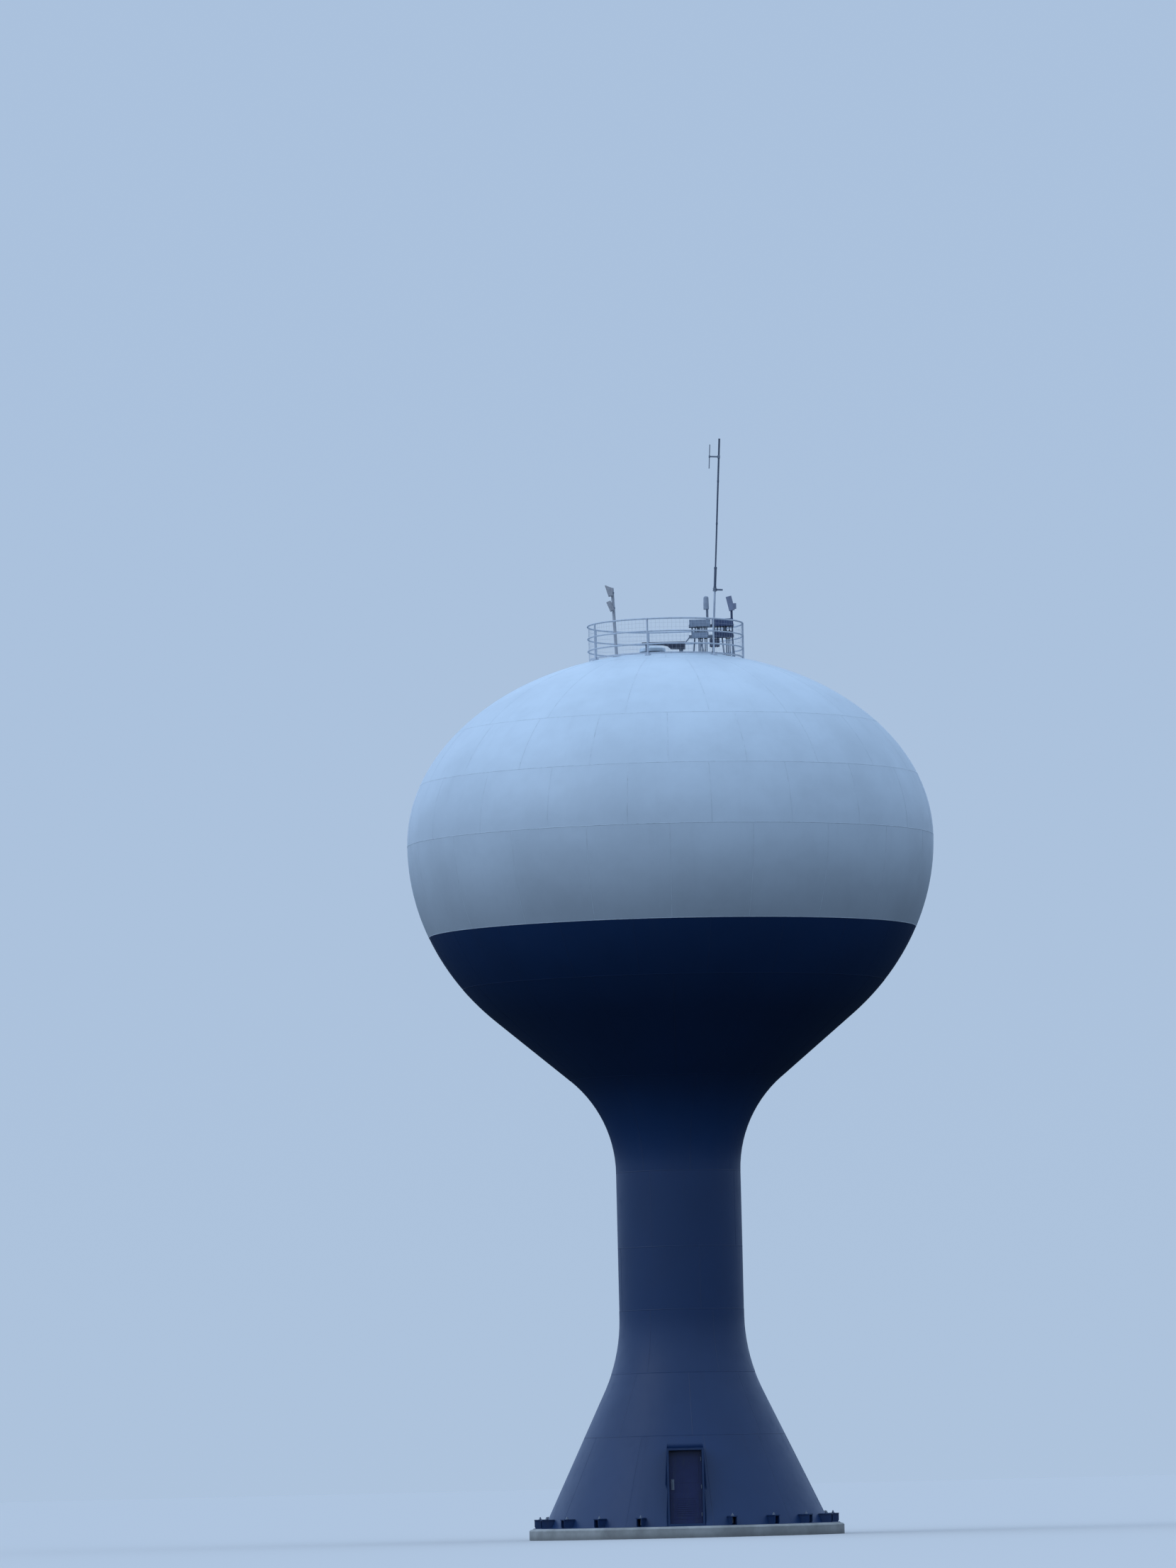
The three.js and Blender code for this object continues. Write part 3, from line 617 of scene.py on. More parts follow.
    def gland(self, at: Matrix, radius: float, height: float, finish: int) -> None:
        """Adds a round cable gland."""
        outline = [(AXIS, 0), (radius - 0.002, 0), (radius, 0.004), (radius, height), (AXIS, height)]
        self.lathe(outline, at, 12, finish)

    def place(
        self, name: str, finishes: Sequence[Material], slot: Slot, *nodes: str, bevel: float = 0.0
    ) -> None:
        """Makes the object and seats it in place of its solids."""
        seat(self.to_object(name, finishes, bevel), slot, *nodes)

    def to_object(self, name: str, finishes: Sequence[Material], bevel: float = 0.0) -> Piece:
        """Makes the object.

        Args:
            name: The piece's name.
            finishes: Its materials, by number.
            bevel: Width of the rounding on its sharp edges, or 0 for none.

        Returns:
            The object, with its place in its mesh.
        """
        mesh = bpy.data.meshes.new(name)
        mesh.from_pydata(np.concatenate(self.points).tolist(), [], self.faces)
        mesh.update()
        mesh.polygons.foreach_set("material_index", self.finish)
        for material in finishes:
            mesh.materials.append(material)
        mesh.polygons.foreach_set("use_smooth", [True] * len(mesh.polygons))
        mesh.set_sharp_from_angle(angle=SHARP_ANGLE)
        made = bpy.data.objects.new(name, mesh)
        bpy.context.scene.collection.objects.link(made)
        if bevel > 0:
            edge = made.modifiers.new("rounded_edges", "BEVEL")
            edge.width = bevel
            edge.segments = 2
            edge.limit_method = "ANGLE"
            edge.angle_limit = BEVEL_ANGLE
            edge.harden_normals = True
        return made


def seat(piece: Piece, slot: Slot, *nodes: str) -> None:
    """Fixes a finished piece to the tower in place of its solids.

    Args:
        piece: The piece.
        slot: Not used.
        *nodes: The solids that it stands for.
    """
    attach(piece, BODY)
    if nodes:
        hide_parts(*nodes)
    log.info("%s: %d faces, for %s", piece.name, len(piece.data.polygons), ", ".join(nodes) or "no solid")


def carve(body: Piece, tool: Piece) -> None:
    """Cuts one object by another.

    Args:
        body: The object that is cut.
        tool: What is cut from it. It is then removed.
    """
    cut = body.modifiers.new("cut", "BOOLEAN")
    cut.object = tool
    cut.operation = "DIFFERENCE"
    cut.solver = "EXACT"
    bpy.context.view_layer.update()
    done = bpy.data.meshes.new_from_object(body.evaluated_get(bpy.context.evaluated_depsgraph_get()))
    body.modifiers.clear()
    body.data = done
    bpy.data.objects.remove(tool)


def node_points(node: str) -> np.ndarray:
    """Reads a solid's corners.

    Args:
        node: The solid's name.

    Returns:
        Its corners, one row each.
    """
    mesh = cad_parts[node].data
    flat = np.zeros(len(mesh.vertices) * 3)
    mesh.vertices.foreach_get("co", flat)
    return flat.reshape(-1, 3)


def shift(x: float, y: float, z: float) -> Matrix:
    """A move with no turn."""
    return Matrix.Translation((x, y, z))


def rotate(angle: float, axis: str) -> Matrix:
    """A turn about one of the three axes."""
    return Matrix.Rotation(angle, 4, axis)


def middle_of(low: Vector, high: Vector) -> tuple[float, float]:
    """The place in plan of the middle of a box."""
    return (low.x + high.x) / 2, (low.y + high.y) / 2


@dataclass
class TowerOutline:
    """The smooth outer face that the faceted solids follow."""

    bowl_ratio: float = 0.91
    cone_slope: float = math.radians(40)
    throat_fillet: float = 3.5
    bell_knee: float = 5.2
    bell_fillet: float = 5.0
    wave_scale: float = 0.42
    wave_depth: float = 0.006
    calm_radius: float = 2.0

    def __post_init__(self) -> None:
        """Reads the driving sizes from the solids and works out where the stretches meet."""
        low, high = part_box("roof_lower")
        self.radius = (high.x - low.x) / 2
        self.equator = low.z
        self.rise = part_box("crown_plate")[1].z - self.equator
        self.bowl = self.bowl_ratio * self.radius
        low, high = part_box("shaft_lower")
        self.shaft = (high.x - low.x) / 2
        low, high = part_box("bowl_throat")
        self.throat_foot, self.throat_top = low.z, high.z
        self.tilt = RIGHT_ANGLE - self.cone_slope
        self.cone_top = self.equator - self.bowl * math.sin(math.atan(self.bowl_ratio * math.tan(self.tilt)))
        low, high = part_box("bell_lower")
        self.foot, self.foot_radius = low.z, high.x
        self.bell_tilt = math.atan((self.foot_radius - self.shaft) / (self.bell_knee - self.foot))
        self.bell_centre = self.bell_knee + self.bell_fillet * math.tan(self.bell_tilt / 2)
        self.bell_start = self.bell_centre - self.bell_fillet * math.sin(self.bell_tilt)

    def at(self, z: float) -> tuple[float, float, float]:
        """The face at a height.

        Args:
            z: Height above ground.

        Returns:
            Its radius, and its outward normal's share outwards and upwards.
        """
        if z >= self.equator:
            return self.ellipse(self.rise, z)
        if z >= self.cone_top:
            return self.ellipse(self.bowl, z)
        if z >= self.throat_top:
            run = (self.cone_top - z) * math.tan(self.tilt)
            return self.ellipse(self.bowl, self.cone_top)[0] - run, math.cos(self.tilt), -math.sin(self.tilt)
        if z >= self.throat_foot:
            return self.fillet(self.throat_fillet, z - self.throat_foot)
        if z >= self.bell_centre:
            return self.shaft, 1.0, 0.0
        if z >= self.bell_start:
            return self.fillet(self.bell_fillet, z - self.bell_centre)
        run = (z - self.foot) * math.tan(self.bell_tilt)
        return self.foot_radius - run, math.cos(self.bell_tilt), math.sin(self.bell_tilt)

    def ellipse(self, half_height: float, z: float) -> tuple[float, float, float]:
        """The face on the half ellipse above or below the equator.

        Args:
            half_height: Half the ellipse's height.
            z: Height above ground.

        Returns:
            The same as at.
        """
        s = min(1.0, (z - self.equator) / half_height)
        c = math.sqrt(1 - s * s)
        outward, upward = half_height * c, self.radius * s
        size = math.hypot(outward, upward)
        return self.radius * c, outward / size, upward / size

    def fillet(self, radius: float, rise: float) -> tuple[float, float, float]:
        """The face on a fillet that flares out from the shaft.

        Args:
            radius: The fillet's radius.
            rise: Height over the level where it leaves the shaft, or less than 0 below that.

        Returns:
            The same as at.
        """
        s = rise / radius
        c = math.sqrt(1 - s * s)
        return self.shaft + radius * (1 - c), c, -s

    def height(self, reach: float) -> float:
        """The roof's height at a distance from the axis."""
        return self.equator + self.rise * math.sqrt(1 - (reach / self.radius) ** 2)

    def slope(self, reach: float) -> float:
        """The roof's fall from level at a distance from the axis, as an angle."""
        _, outward, upward = self.at(self.height(reach))
        return math.atan2(outward, upward)

    def skin(self, angle: float, z: float, proud: float = 0.0) -> Vector:
        """A point on the dressed skin, which lies a little inside the true face and is never quite even.

        Args:
            angle: Turn about the axis.
            z: Height on the true face.
            proud: How far outside the skin the point lies.

        Returns:
            The point.
        """
        r, outward, upward = self.at(z)
        c, s = math.cos(angle), math.sin(angle)
        scale = self.wave_scale
        wave = noise.noise(Vector((scale * r * c, scale * r * s, scale * z)))
        calm = min(1.0, r / self.calm_radius)
        inset = SKIN_INSET + self.wave_depth * calm * (0.5 + 0.5 * wave) - proud
        reach = max(0.0, r - inset * outward)
        return Vector((reach * c, reach * s, z - inset * upward))


@dataclass
class Assembly:
    """A sub-assembly, which follows the tower's outer face and wears the shared finishes."""

    outline: TowerOutline
    finishes: Finishes

    def ground(self, x: float, y: float) -> float:
        """The roof's height under a place in plan."""
        return self.outline.height(math.hypot(x, y))


@dataclass(frozen=True)
class FootPlate:
    """A square plate that lies along the roof's slope, with bolts in one row or two."""

    half: float
    low: float
    high: float
    lift: float
    bolt: float
    bolt_reach: float
    rows: tuple[int, ...] = (-1, 1)

    def add_to(self, draft: Draft, outline: TowerOutline, x: float, y: float) -> None:
        """Adds the plate to a mesh.

        Args:
            draft: The mesh.
            outline: The tower's outer face.
            x: Place in plan, across the front.
            y: Place in plan, away from the front.
        """
        reach = math.hypot(x, y)
        spot = shift(x, y, outline.height(reach) + self.lift)
        spot = spot @ rotate(math.atan2(x, -y), "Z") @ rotate(outline.slope(reach), "X")
        draft.box((-self.half, -self.half, self.low), (self.half, self.half, self.high), spot)
        draft.bolts(spot, self.bolt_reach, self.high, self.bolt, self.rows)


@dataclass(frozen=True)
class Course:
    """One course of plates between two level seams."""

    node: str
    plates: int
    offset: float
    slot: Slot
    dirtiness: float
    # How strongly painted shade darkens the course towards its foot
    painted_foot_shade: float = 0.0

    @property
    def is_crown(self) -> bool:
        """Whether the course closes the roof."""
        return self.node == "crown_plate"


@dataclass
class SteelShell(Assembly):
    """The welded shell: bell, shaft, bowl and roof, with the tank floor inside."""

    courses: tuple[Course, ...] = (
        Course("bell_lower", 10, 0.3, Slot.NAVY, 0.5),
        Course("bell_upper", 8, 0.1, Slot.NAVY, 0.4),
        Course("bell_throat", 6, 0.5, Slot.NAVY, 0.4),
        Course("shaft_lower", 4, 0.2, Slot.NAVY, 0.4),
        Course("shaft_upper", 4, 0.7, Slot.NAVY, 0.4),
        Course("bowl_throat", 8, 0.25, Slot.NAVY, 0.35),
        Course("bowl_cone", 16, 0.0, Slot.NAVY, 0.35),
        Course("bowl_lower", 20, 0.5, Slot.NAVY, 0.35),
        # The white course below the equator is darkened towards the navy edge by painted shade
        Course("bowl_upper", 20, 0.0, Slot.WHITE, 0.2, 1.9),
        Course("roof_lower", 20, 0.5, Slot.WHITE, 0.17),
        Course("roof_middle", 20, 0.0, Slot.WHITE, 0.2),
        Course("roof_upper", 16, 0.5, Slot.WHITE, 0.22),
        Course("crown_plate", 8, 0.0, Slot.WHITE, 0.34),
    )
    row_step: float = 0.22
    trial_steps: int = 200
    crown_rows: int = 22
    bead_half: float = 0.015
    bead_height: float = 0.004
    bead_root: float = 0.002
    weld_stop: float = 1.0

    def heights(self, course: Course) -> list[float]:
        """Chooses the levels of a course's rows, close together where the face turns.

        Args:
            course: The course.

        Returns:
            The levels, from its foot to its top.
        """
        low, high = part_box(course.node)
        if course.is_crown:
            count = self.crown_rows
            return [high.z - (high.z - low.z) * (1 - i / count) ** 2 for i in range(count + 1)]
        fine = np.linspace(low.z, high.z, self.trial_steps)
        radii = np.array([self.outline.at(z)[0] for z in fine])
        length = np.concatenate([[0], np.cumsum(np.hypot(np.diff(fine), np.diff(radii)))])
        count = max(2, round(length[-1] / self.row_step))
        return [float(z) for z in np.interp(np.linspace(0, length[-1], count + 1), length, fine)]

    def inner(self, z: float, square: bool) -> tuple[float, float]:
        """Finds the inner face opposite a level of the outer face.

        Args:
            z: The level.
            square: True measures the plate square to the face, and False measures it level.

        Returns:
            The inner face's radius and height.
        """
        r, outward, upward = self.outline.at(z)
        if square:
            return max(0.0, r - PLATE_THICKNESS * outward), z - PLATE_THICKNESS * upward
        return r - PLATE_THICKNESS / outward, z

    def skin(self, course: Course) -> Piece:
        """Builds one course as a closed shell of plate.

        Args:
            course: The course.

        Returns:
            The piece.
        """
        angles = np.linspace(0, FULL_TURN, ROUND, endpoint=False)
        circle = np.stack([np.cos(angles), np.sin(angles)], 1)
        levels = self.heights(course)
        outer = [np.array([self.outline.skin(a, z) for a in angles]) for z in levels]
        inner = []
        for z in reversed(levels[::3] if course.is_crown else [*levels[:-1:2], levels[-1]]):
            r, level = self.inner(z, course.is_crown and z > levels[0])
            inner.append(np.column_stack([r * circle, np.full(ROUND, level)]))
        # Both faces of the crown are capped just short of the axis, and any other course closes on itself
        rows = [*inner[1:], *outer[:-1]] if course.is_crown else [*outer, *inner]
        draft = Draft()
        draft.grid(np.array(rows), not course.is_crown)
        colours = (WHITE, WHITE_DIRT_AND_SHADE) if course.slot is Slot.WHITE else (NAVY, NAVY_DIRT)
        plates = (course.dirtiness, course.plates, course.offset, levels[0], levels[-1], course.painted_foot_shade)
        paint = PlatePaint(f"{course.node}_coating", *colours, *plates).build()
        return draft.to_object(f"{course.node}_skin", [paint])

    def bead(self, draft: Draft, line: Outline, across: Callable[[float], tuple[float, float]]) -> None:
        """Adds a weld bead along a line on the skin.

        Args:
            draft: The mesh to add to.
            line: Angle and height of each point.
            across: Half the bead's width as an angle and a height, at a height.
        """
        rows = []
        for angle, z in line:
            turn, rise = across(z)
            feet = [self.outline.skin(angle + s * turn, z + s * rise, -self.bead_root) for s in (-1, 1)]
            rows.append([feet[0], self.outline.skin(angle, z, self.bead_height), feet[1]])
        draft.grid(np.array(rows), False)

    def welds(self, slot: Slot, material: Material) -> Piece:
        """Builds the weld beads of one colour of plate, as one piece.

        Args:
            slot: The slot of the courses that are joined.
            material: The beads' coating.

        Returns:
            The piece.
        """
        draft = Draft()
        outline, half = self.outline, self.bead_half
        for course in self.courses:
            if course.slot is not slot:
                continue
            levels = [z for z in self.heights(course) if outline.at(z)[0] > self.weld_stop]
            if course.node != "bell_lower":
                girth = [(a, levels[0]) for a in np.linspace(0, FULL_TURN, ROUND)]
                self.bead(draft, girth, lambda z: (0.0, half * outline.at(z)[1]))
            for i in range(course.plates):
                angle = RIGHT_ANGLE - FULL_TURN * (i - course.offset) / course.plates
                self.bead(draft, [(angle, z) for z in levels], lambda z: (half / outline.at(z)[0], 0.0))
        return draft.to_object(f"weld_beads_{slot.name.lower()}", [material])

    def build(self, cutters: dict[str, list[Piece]]) -> None:
        """Builds every course, its welds and the floor's finish.

        Args:
            cutters: What is cut from a course, by the name of its solid.
        """
        for course in self.courses:
            skin = self.skin(course)
            for cutter in cutters.get(course.node, []):
                carve(skin, cutter)
            seat(skin, course.slot, course.node)
        seat(self.welds(Slot.WHITE, self.finishes.white), Slot.WHITE)
        seat(self.welds(Slot.NAVY, self.finishes.navy), Slot.NAVY)
        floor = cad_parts["tank_floor"].data
        floor.materials.clear()
        floor.materials.append(self.finishes.navy)
        log.info("tank_floor keeps its solid")


@dataclass
class Footing(Assembly):
    """The concrete ring, its grout bed, and the base ring with anchor chairs."""

    chamfer: float = 0.035
    foot_chamfer: tuple[float, float] = (0.004, 0.02)
    grout_foot: float = 0.05
    grout_brow: float = 0.012
    grout_height: float = 0.026
    plate_edge: float = 0.004
    chairs: int = 20
    chair_width: float = 0.20
    chair_height: float = 0.25
    chair_setback: float = 0.03
    cap: float = 0.03
    lap: float = 0.004
    gusset_spread: float = 0.07
    gusset_half: float = 0.009
    gusset_toe: float = 0.03
    gusset_nose: float = 0.005
    gusset_rise: float = 0.05
    washer: float = 0.055
    washer_height: float = 0.008
    nut: float = 0.036
    nut_height: float = 0.034
    bolt: float = 0.036
    bolt_foot: float = -0.2
    bolt_tip: float = 0.075

    def build(self) -> None:
        """Builds the concrete, and the base ring on it."""
        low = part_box("base_ring")[0].z
        reaches = [math.hypot(x, y) for x, y, z in node_points("base_ring") if z < low + 0.01]
        self.concrete(max(reaches), low)
        self.base(min(reaches), max(reaches), low)

    def concrete(self, plate: float, low: float) -> None:
        """Builds the concrete ring, and the sloped bed of grout round the base plate.

        Args:
            plate: The base plate's outer radius.
            low: The base plate's underside.
        """
        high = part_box("foundation_ring")[1]
        outer, top = high.x, high.z
        inner = min(math.hypot(x, y) for x, y, _ in node_points("foundation_ring"))
        back, rise = self.foot_chamfer
        profile = [(inner, 0.0), (outer - back, 0.0), (outer, rise), (outer, top - self.chamfer)]
        profile += [(outer - self.chamfer, top), (inner, top)]
        concrete = CastConcrete("cast_concrete", CONCRETE, top).build()
        ring = Draft()
        ring.lathe(profile, None, ROUND)
        ring.place("foundation_concrete", [concrete], Slot.CONCRETE, "foundation_ring")
        foot, brow, top = plate + self.grout_foot, plate + self.grout_brow, low + self.grout_height
        bed = Draft()
        bed.lathe([(plate, low), (foot, low), (brow, top), (plate, top)], None, ROUND)
        bed.place("grout_bed", [concrete], Slot.CONCRETE)

    def base(self, inner: float, outer: float, low: float) -> None:
        """Builds the base plate with its anchor chairs, and none in front of the door.

        Args:
            inner: The plate's inner radius.
            outer: The plate's outer radius.
            low: The plate's underside.
        """
        top, edge = self.outline.foot, self.plate_edge
        draft = Draft()
        profile = [(inner, low), (outer, low), (outer, top - edge), (outer - edge, top), (inner, top)]
        draft.lathe(profile, None, ROUND)
        for i in range(1, self.chairs):
            self.chair(draft, FULL_TURN * i / self.chairs, top, outer - self.chair_setback)
        draft.place(
            "base_ring_and_chairs", [self.finishes.navy, self.finishes.dull_zinc], Slot.NAVY, "base_ring"
        )

    def chair(self, draft: Draft, angle: float, foot: float, reach: float) -> None:
        """Adds one anchor chair: two gussets, a cap plate, and the anchor bolt with its nut.

        Args:
            draft: The mesh to add to.
            angle: Turn about the axis from the front.
            foot: The base plate's top.
            reach: The chair's outer reach from the axis.
        """
        turn = rotate(angle, "Z")
        cap_top = foot + self.chair_height
        cap_low = cap_top - self.cap
        shell_low = self.outline.at(foot)[0] - self.lap
        shell_high = self.outline.at(cap_low)[0] - self.lap
        half = self.chair_width / 2
        draft.box((-half, -reach, cap_low), (half, -shell_high, cap_top), turn)
        nose = self.gusset_nose - reach
        gusset = [(self.gusset_toe - reach, foot), (-shell_low, foot), (-shell_high, cap_low)]
        gusset += [(nose, cap_low), (nose, foot + self.gusset_rise)]
        for side in (-1, 1):
            middle = -side * self.gusset_spread
            depth = (middle - self.gusset_half, middle + self.gusset_half)
            draft.prism(gusset, depth, turn @ rotate(RIGHT_ANGLE, "Z"))
        spot = turn @ shift(0, -((reach + shell_high) / 2 + 0.02), cap_top)
        draft.rod(self.washer, 0, self.washer_height, spot, 24, 1)
        nut = spot @ shift(0, 0, self.washer_height)
        draft.stud(self.nut, 0, self.nut_height, (0.005, 0.004), nut, 6, 1)
        draft.stud(self.bolt / 2, self.bolt_foot, self.bolt_tip, (0.004, 0.005), spot, 16, 1)


@dataclass
class Doorway(Assembly):
    """The access door in the bell: a box frame, a flush leaf and its hardware."""

    wall: float = 0.06
    clearance: float = 0.004
    cut_out: float = 0.8
    cut_below: float = 0.3
    stop_gap: float = 0.001
    stop_width: float = 0.025
    stop_depth: float = 0.04
    leaf_depth: float = 0.045
    panel_inset: float = 0.09
    panel_proud: float = 0.006
    panel_margin: float = 0.12
    panel_ends: tuple[float, float] = (0.86, 1.14)
    blades: int = 9
    blade_inset: float = 0.2
    blade_low: float = 0.22
    blade_pitch: float = 0.06
    blade_height: float = 0.03
    blade_depths: tuple[float, float] = (0.018, 0.004)
    plate_sides: tuple[float, float] = (0.05, 0.13)
    plate_ends: tuple[float, float] = (0.95, 1.25)
    plate_proud: float = 0.012
    pull_inset: float = 0.09
    pull: Outline = ((0.008, 1.0), (0.055, 1.0), (0.06, 1.02), (0.06, 1.18), (0.055, 1.2), (0.008, 1.2))
    pull_radius: float = 0.009
    hinges: tuple[float, ...] = (0.12, 0.5, 0.88)
    hinge_radius: float = 0.014
    hinge_inset: float = 0.018
    hinge_length: float = 0.11

    def __post_init__(self) -> None:
        """Reads the door's sizes from its solids."""
        self.frame_low, self.frame_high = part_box("door_frame")
        self.leaf_low, self.leaf_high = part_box("door_leaf")

    def cutter(self) -> Piece:
        """Builds the box that clears the bell for the frame.

        Returns:
            The tool.
        """
        low, high, gap = self.frame_low, self.frame_high, self.clearance
        draft = Draft()
        corner = (low.x + gap, low.y - self.cut_out, low.z - self.cut_below)
        draft.box(corner, (high.x - gap, high.y - gap, high.z - gap))
        return draft.to_object("door_cutter", [])

    def build(self) -> None:
        """Builds the frame, with the stops that the leaf closes on, and the leaf."""
        low, high = self.frame_low, self.frame_high
        left, right = low.x + self.wall, high.x - self.wall
        sill, head = low.z + self.wall, high.z - self.wall
        draft = Draft()
        for x0, x1 in ((low.x, left), (right, high.x)):
            draft.box((x0, low.y, low.z), (x1, high.y, high.z))
        for z0, z1 in ((head, high.z), (low.z, sill)):
            draft.box((left, low.y, z0), (right, high.y, z1))
        near = self.leaf_high.y + self.stop_gap
        far = near + self.stop_depth
        width = self.stop_width
        for x0, x1 in ((left, left + width), (right - width, right)):
            draft.box((x0, near, sill), (x1, far, head))
        draft.box((left + width, near, head - width), (right - width, far, head))
        draft.place("door_frame_box", [self.finishes.navy], Slot.NAVY, "door_frame", bevel=0.004)
        self.leaf()

    def leaf(self) -> None:
        """Builds the leaf with its stiffened face, louvre, handle and hinges."""
        low, high = self.leaf_low, self.leaf_high
        face = high.y - self.leaf_depth
        draft = Draft()
        draft.box((low.x, face, low.z), (high.x, high.y, high.z))
        inset, margin = self.panel_inset, self.panel_margin
        ends = (low.z + margin, *(low.z + end for end in self.panel_ends), high.z - margin)
        for z0, z1 in (ends[:2], ends[2:]):
            draft.box((low.x + inset, face - self.panel_proud, z0), (high.x - inset, face, z1))
        front, back = (face - depth for depth in self.blade_depths)
        for i in range(self.blades):
            z = low.z + self.blade_low + self.blade_pitch * i
            corner = (high.x - self.blade_inset, back, z + self.blade_height)
            draft.box((low.x + self.blade_inset, front, z), corner)
        (left, right), (under, over) = self.plate_sides, self.plate_ends
        corner = (low.x + left, face - self.plate_proud, low.z + under)
        draft.box(corner, (low.x + right, face, low.z + over), None, 1)
        pull = [(low.x + self.pull_inset, face - out, low.z + up) for out, up in self.pull]
        draft.tube(pull, self.pull_radius, 12, 1)
        length, thick = self.hinge_length, self.hinge_radius
        edge = 0.002
        barrel = [(AXIS, 0), (thick - edge, 0), (thick, edge), (thick, length - edge)]
        barrel += [(thick - edge, length), (AXIS, length)]
        for share in self.hinges:
            z = low.z + share * (high.z - low.z) - length / 2
            draft.lathe(barrel, shift(high.x - self.hinge_inset, face - 0.006, z), 16, 1)
        draft.place(
            "door_leaf_steel", [self.finishes.door, self.finishes.dull_zinc],
            Slot.DOOR, "door_leaf", bevel=0.002
        )


@dataclass
class RoofOpenings(Assembly):
    """The roof hatch with its lid, and the mushroom vent."""

    wall: float = 0.012
    clearance: float = 0.003
    cut_below: float = 0.3
    cut_length: float = 1.2
    skirt: float = 0.025
    dish: float = 0.03
    hinge_spread: float = 0.07
    hinge_radius: float = 0.014
    hinge_half: float = 0.03
    hasp_half: float = 0.03
    eave: float = 0.07
    rim: float = 0.015
    screen_radii: tuple[float, float] = (0.004, 0.012)
    screen_drop: float = 0.04

    def __post_init__(self) -> None:
        """Reads both places from the solids."""
        self.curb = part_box("hatch_curb")
        self.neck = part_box("vent_neck")

    def cutters(self) -> list[Piece]:
        """Builds the rods that clear the crown for both necks.

        Returns:
            The tools.
        """
        made = []
        for low, high in (self.curb, self.neck):
            draft = Draft()
            spot = shift(*middle_of(low, high), low.z - self.cut_below)
            draft.rod((high.x - low.x) / 2 - self.clearance, 0, self.cut_length, spot)
            made.append(draft.to_object("opening_cutter", []))
        return made

    def build(self) -> None:
        """Builds the four pieces."""
        for (low, high), node in ((self.curb, "hatch_curb"), (self.neck, "vent_neck")):
            radius = (high.x - low.x) / 2
            draft = Draft()
            draft.ring((radius - self.wall, radius), low.z, high.z, shift(*middle_of(low, high), 0), 64)
            draft.place(f"{node}_ring", [self.finishes.white], Slot.WHITE, node)
        self.lid()
        self.cap()

    def lid(self) -> None:
        """Builds the dished lid with its two hinges and its hasp."""
        low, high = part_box("hatch_lid")
        radius, top = (high.x - low.x) / 2, high.z
        x, y = (low.x + high.x) / 2, low.y + radius
        draft = Draft()
        hollow = radius - self.skirt
        outline = [(AXIS, top - self.dish), (hollow, top - self.dish), (hollow, low.z), (radius, low.z)]
        outline += [(radius, top - 0.024), (radius - 0.012, top - 0.016), (0.6 * radius, top - 0.006)]
        draft.lathe([*outline, (AXIS, top)], shift(x, y, 0), 64)
        back = high.y - self.hinge_half
        for side in (-1, 1):
            middle = x + side * self.hinge_spread
            barrel = shift(middle, back, top - 0.02) @ rotate(RIGHT_ANGLE, "Y")
            draft.rod(self.hinge_radius, -self.hinge_half, self.hinge_half, barrel, 16, 1)
            strap = (middle - 0.02, y + radius - 0.1, top - 0.022)
            draft.box(strap, (middle + 0.02, back, top - 0.014), None, 1)
        hasp = (x - self.hasp_half, low.y, low.z + 0.01)
        draft.box(hasp, (x + self.hasp_half, low.y + 0.012, top - 0.02), None, 1)
        draft.place(
            "hatch_lid_dish", [self.finishes.white, self.finishes.dull_zinc], Slot.WHITE, "hatch_lid"
        )

    def cap(self) -> None:
        """Builds the vent's hood with its screen band."""
        low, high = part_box("vent_cap")
        radius = (high.x - low.x) / 2
        spot = shift(*middle_of(low, high), 0)
        eave = low.z + self.eave
        rim = radius - self.rim
        draft = Draft()
        turns = np.linspace(0, RIGHT_ANGLE, 12)[:-1]
        crown = [(radius * math.cos(t), eave + (high.z - eave) * math.sin(t)) for t in turns]
        inside = [(AXIS, eave + 0.03), (rim, eave), (rim, low.z)]
        draft.lathe([*inside, (radius, low.z), *crown, (AXIS, high.z)], spot, 64)
        neck = (self.neck[1].x - self.neck[0].x) / 2
        screen = tuple(neck + gap for gap in self.screen_radii)
        draft.ring(screen, low.z - self.screen_drop, eave, spot, 64, 1)
        draft.place("vent_hood", [self.finishes.white, self.finishes.dull_zinc], Slot.WHITE, "vent_cap")


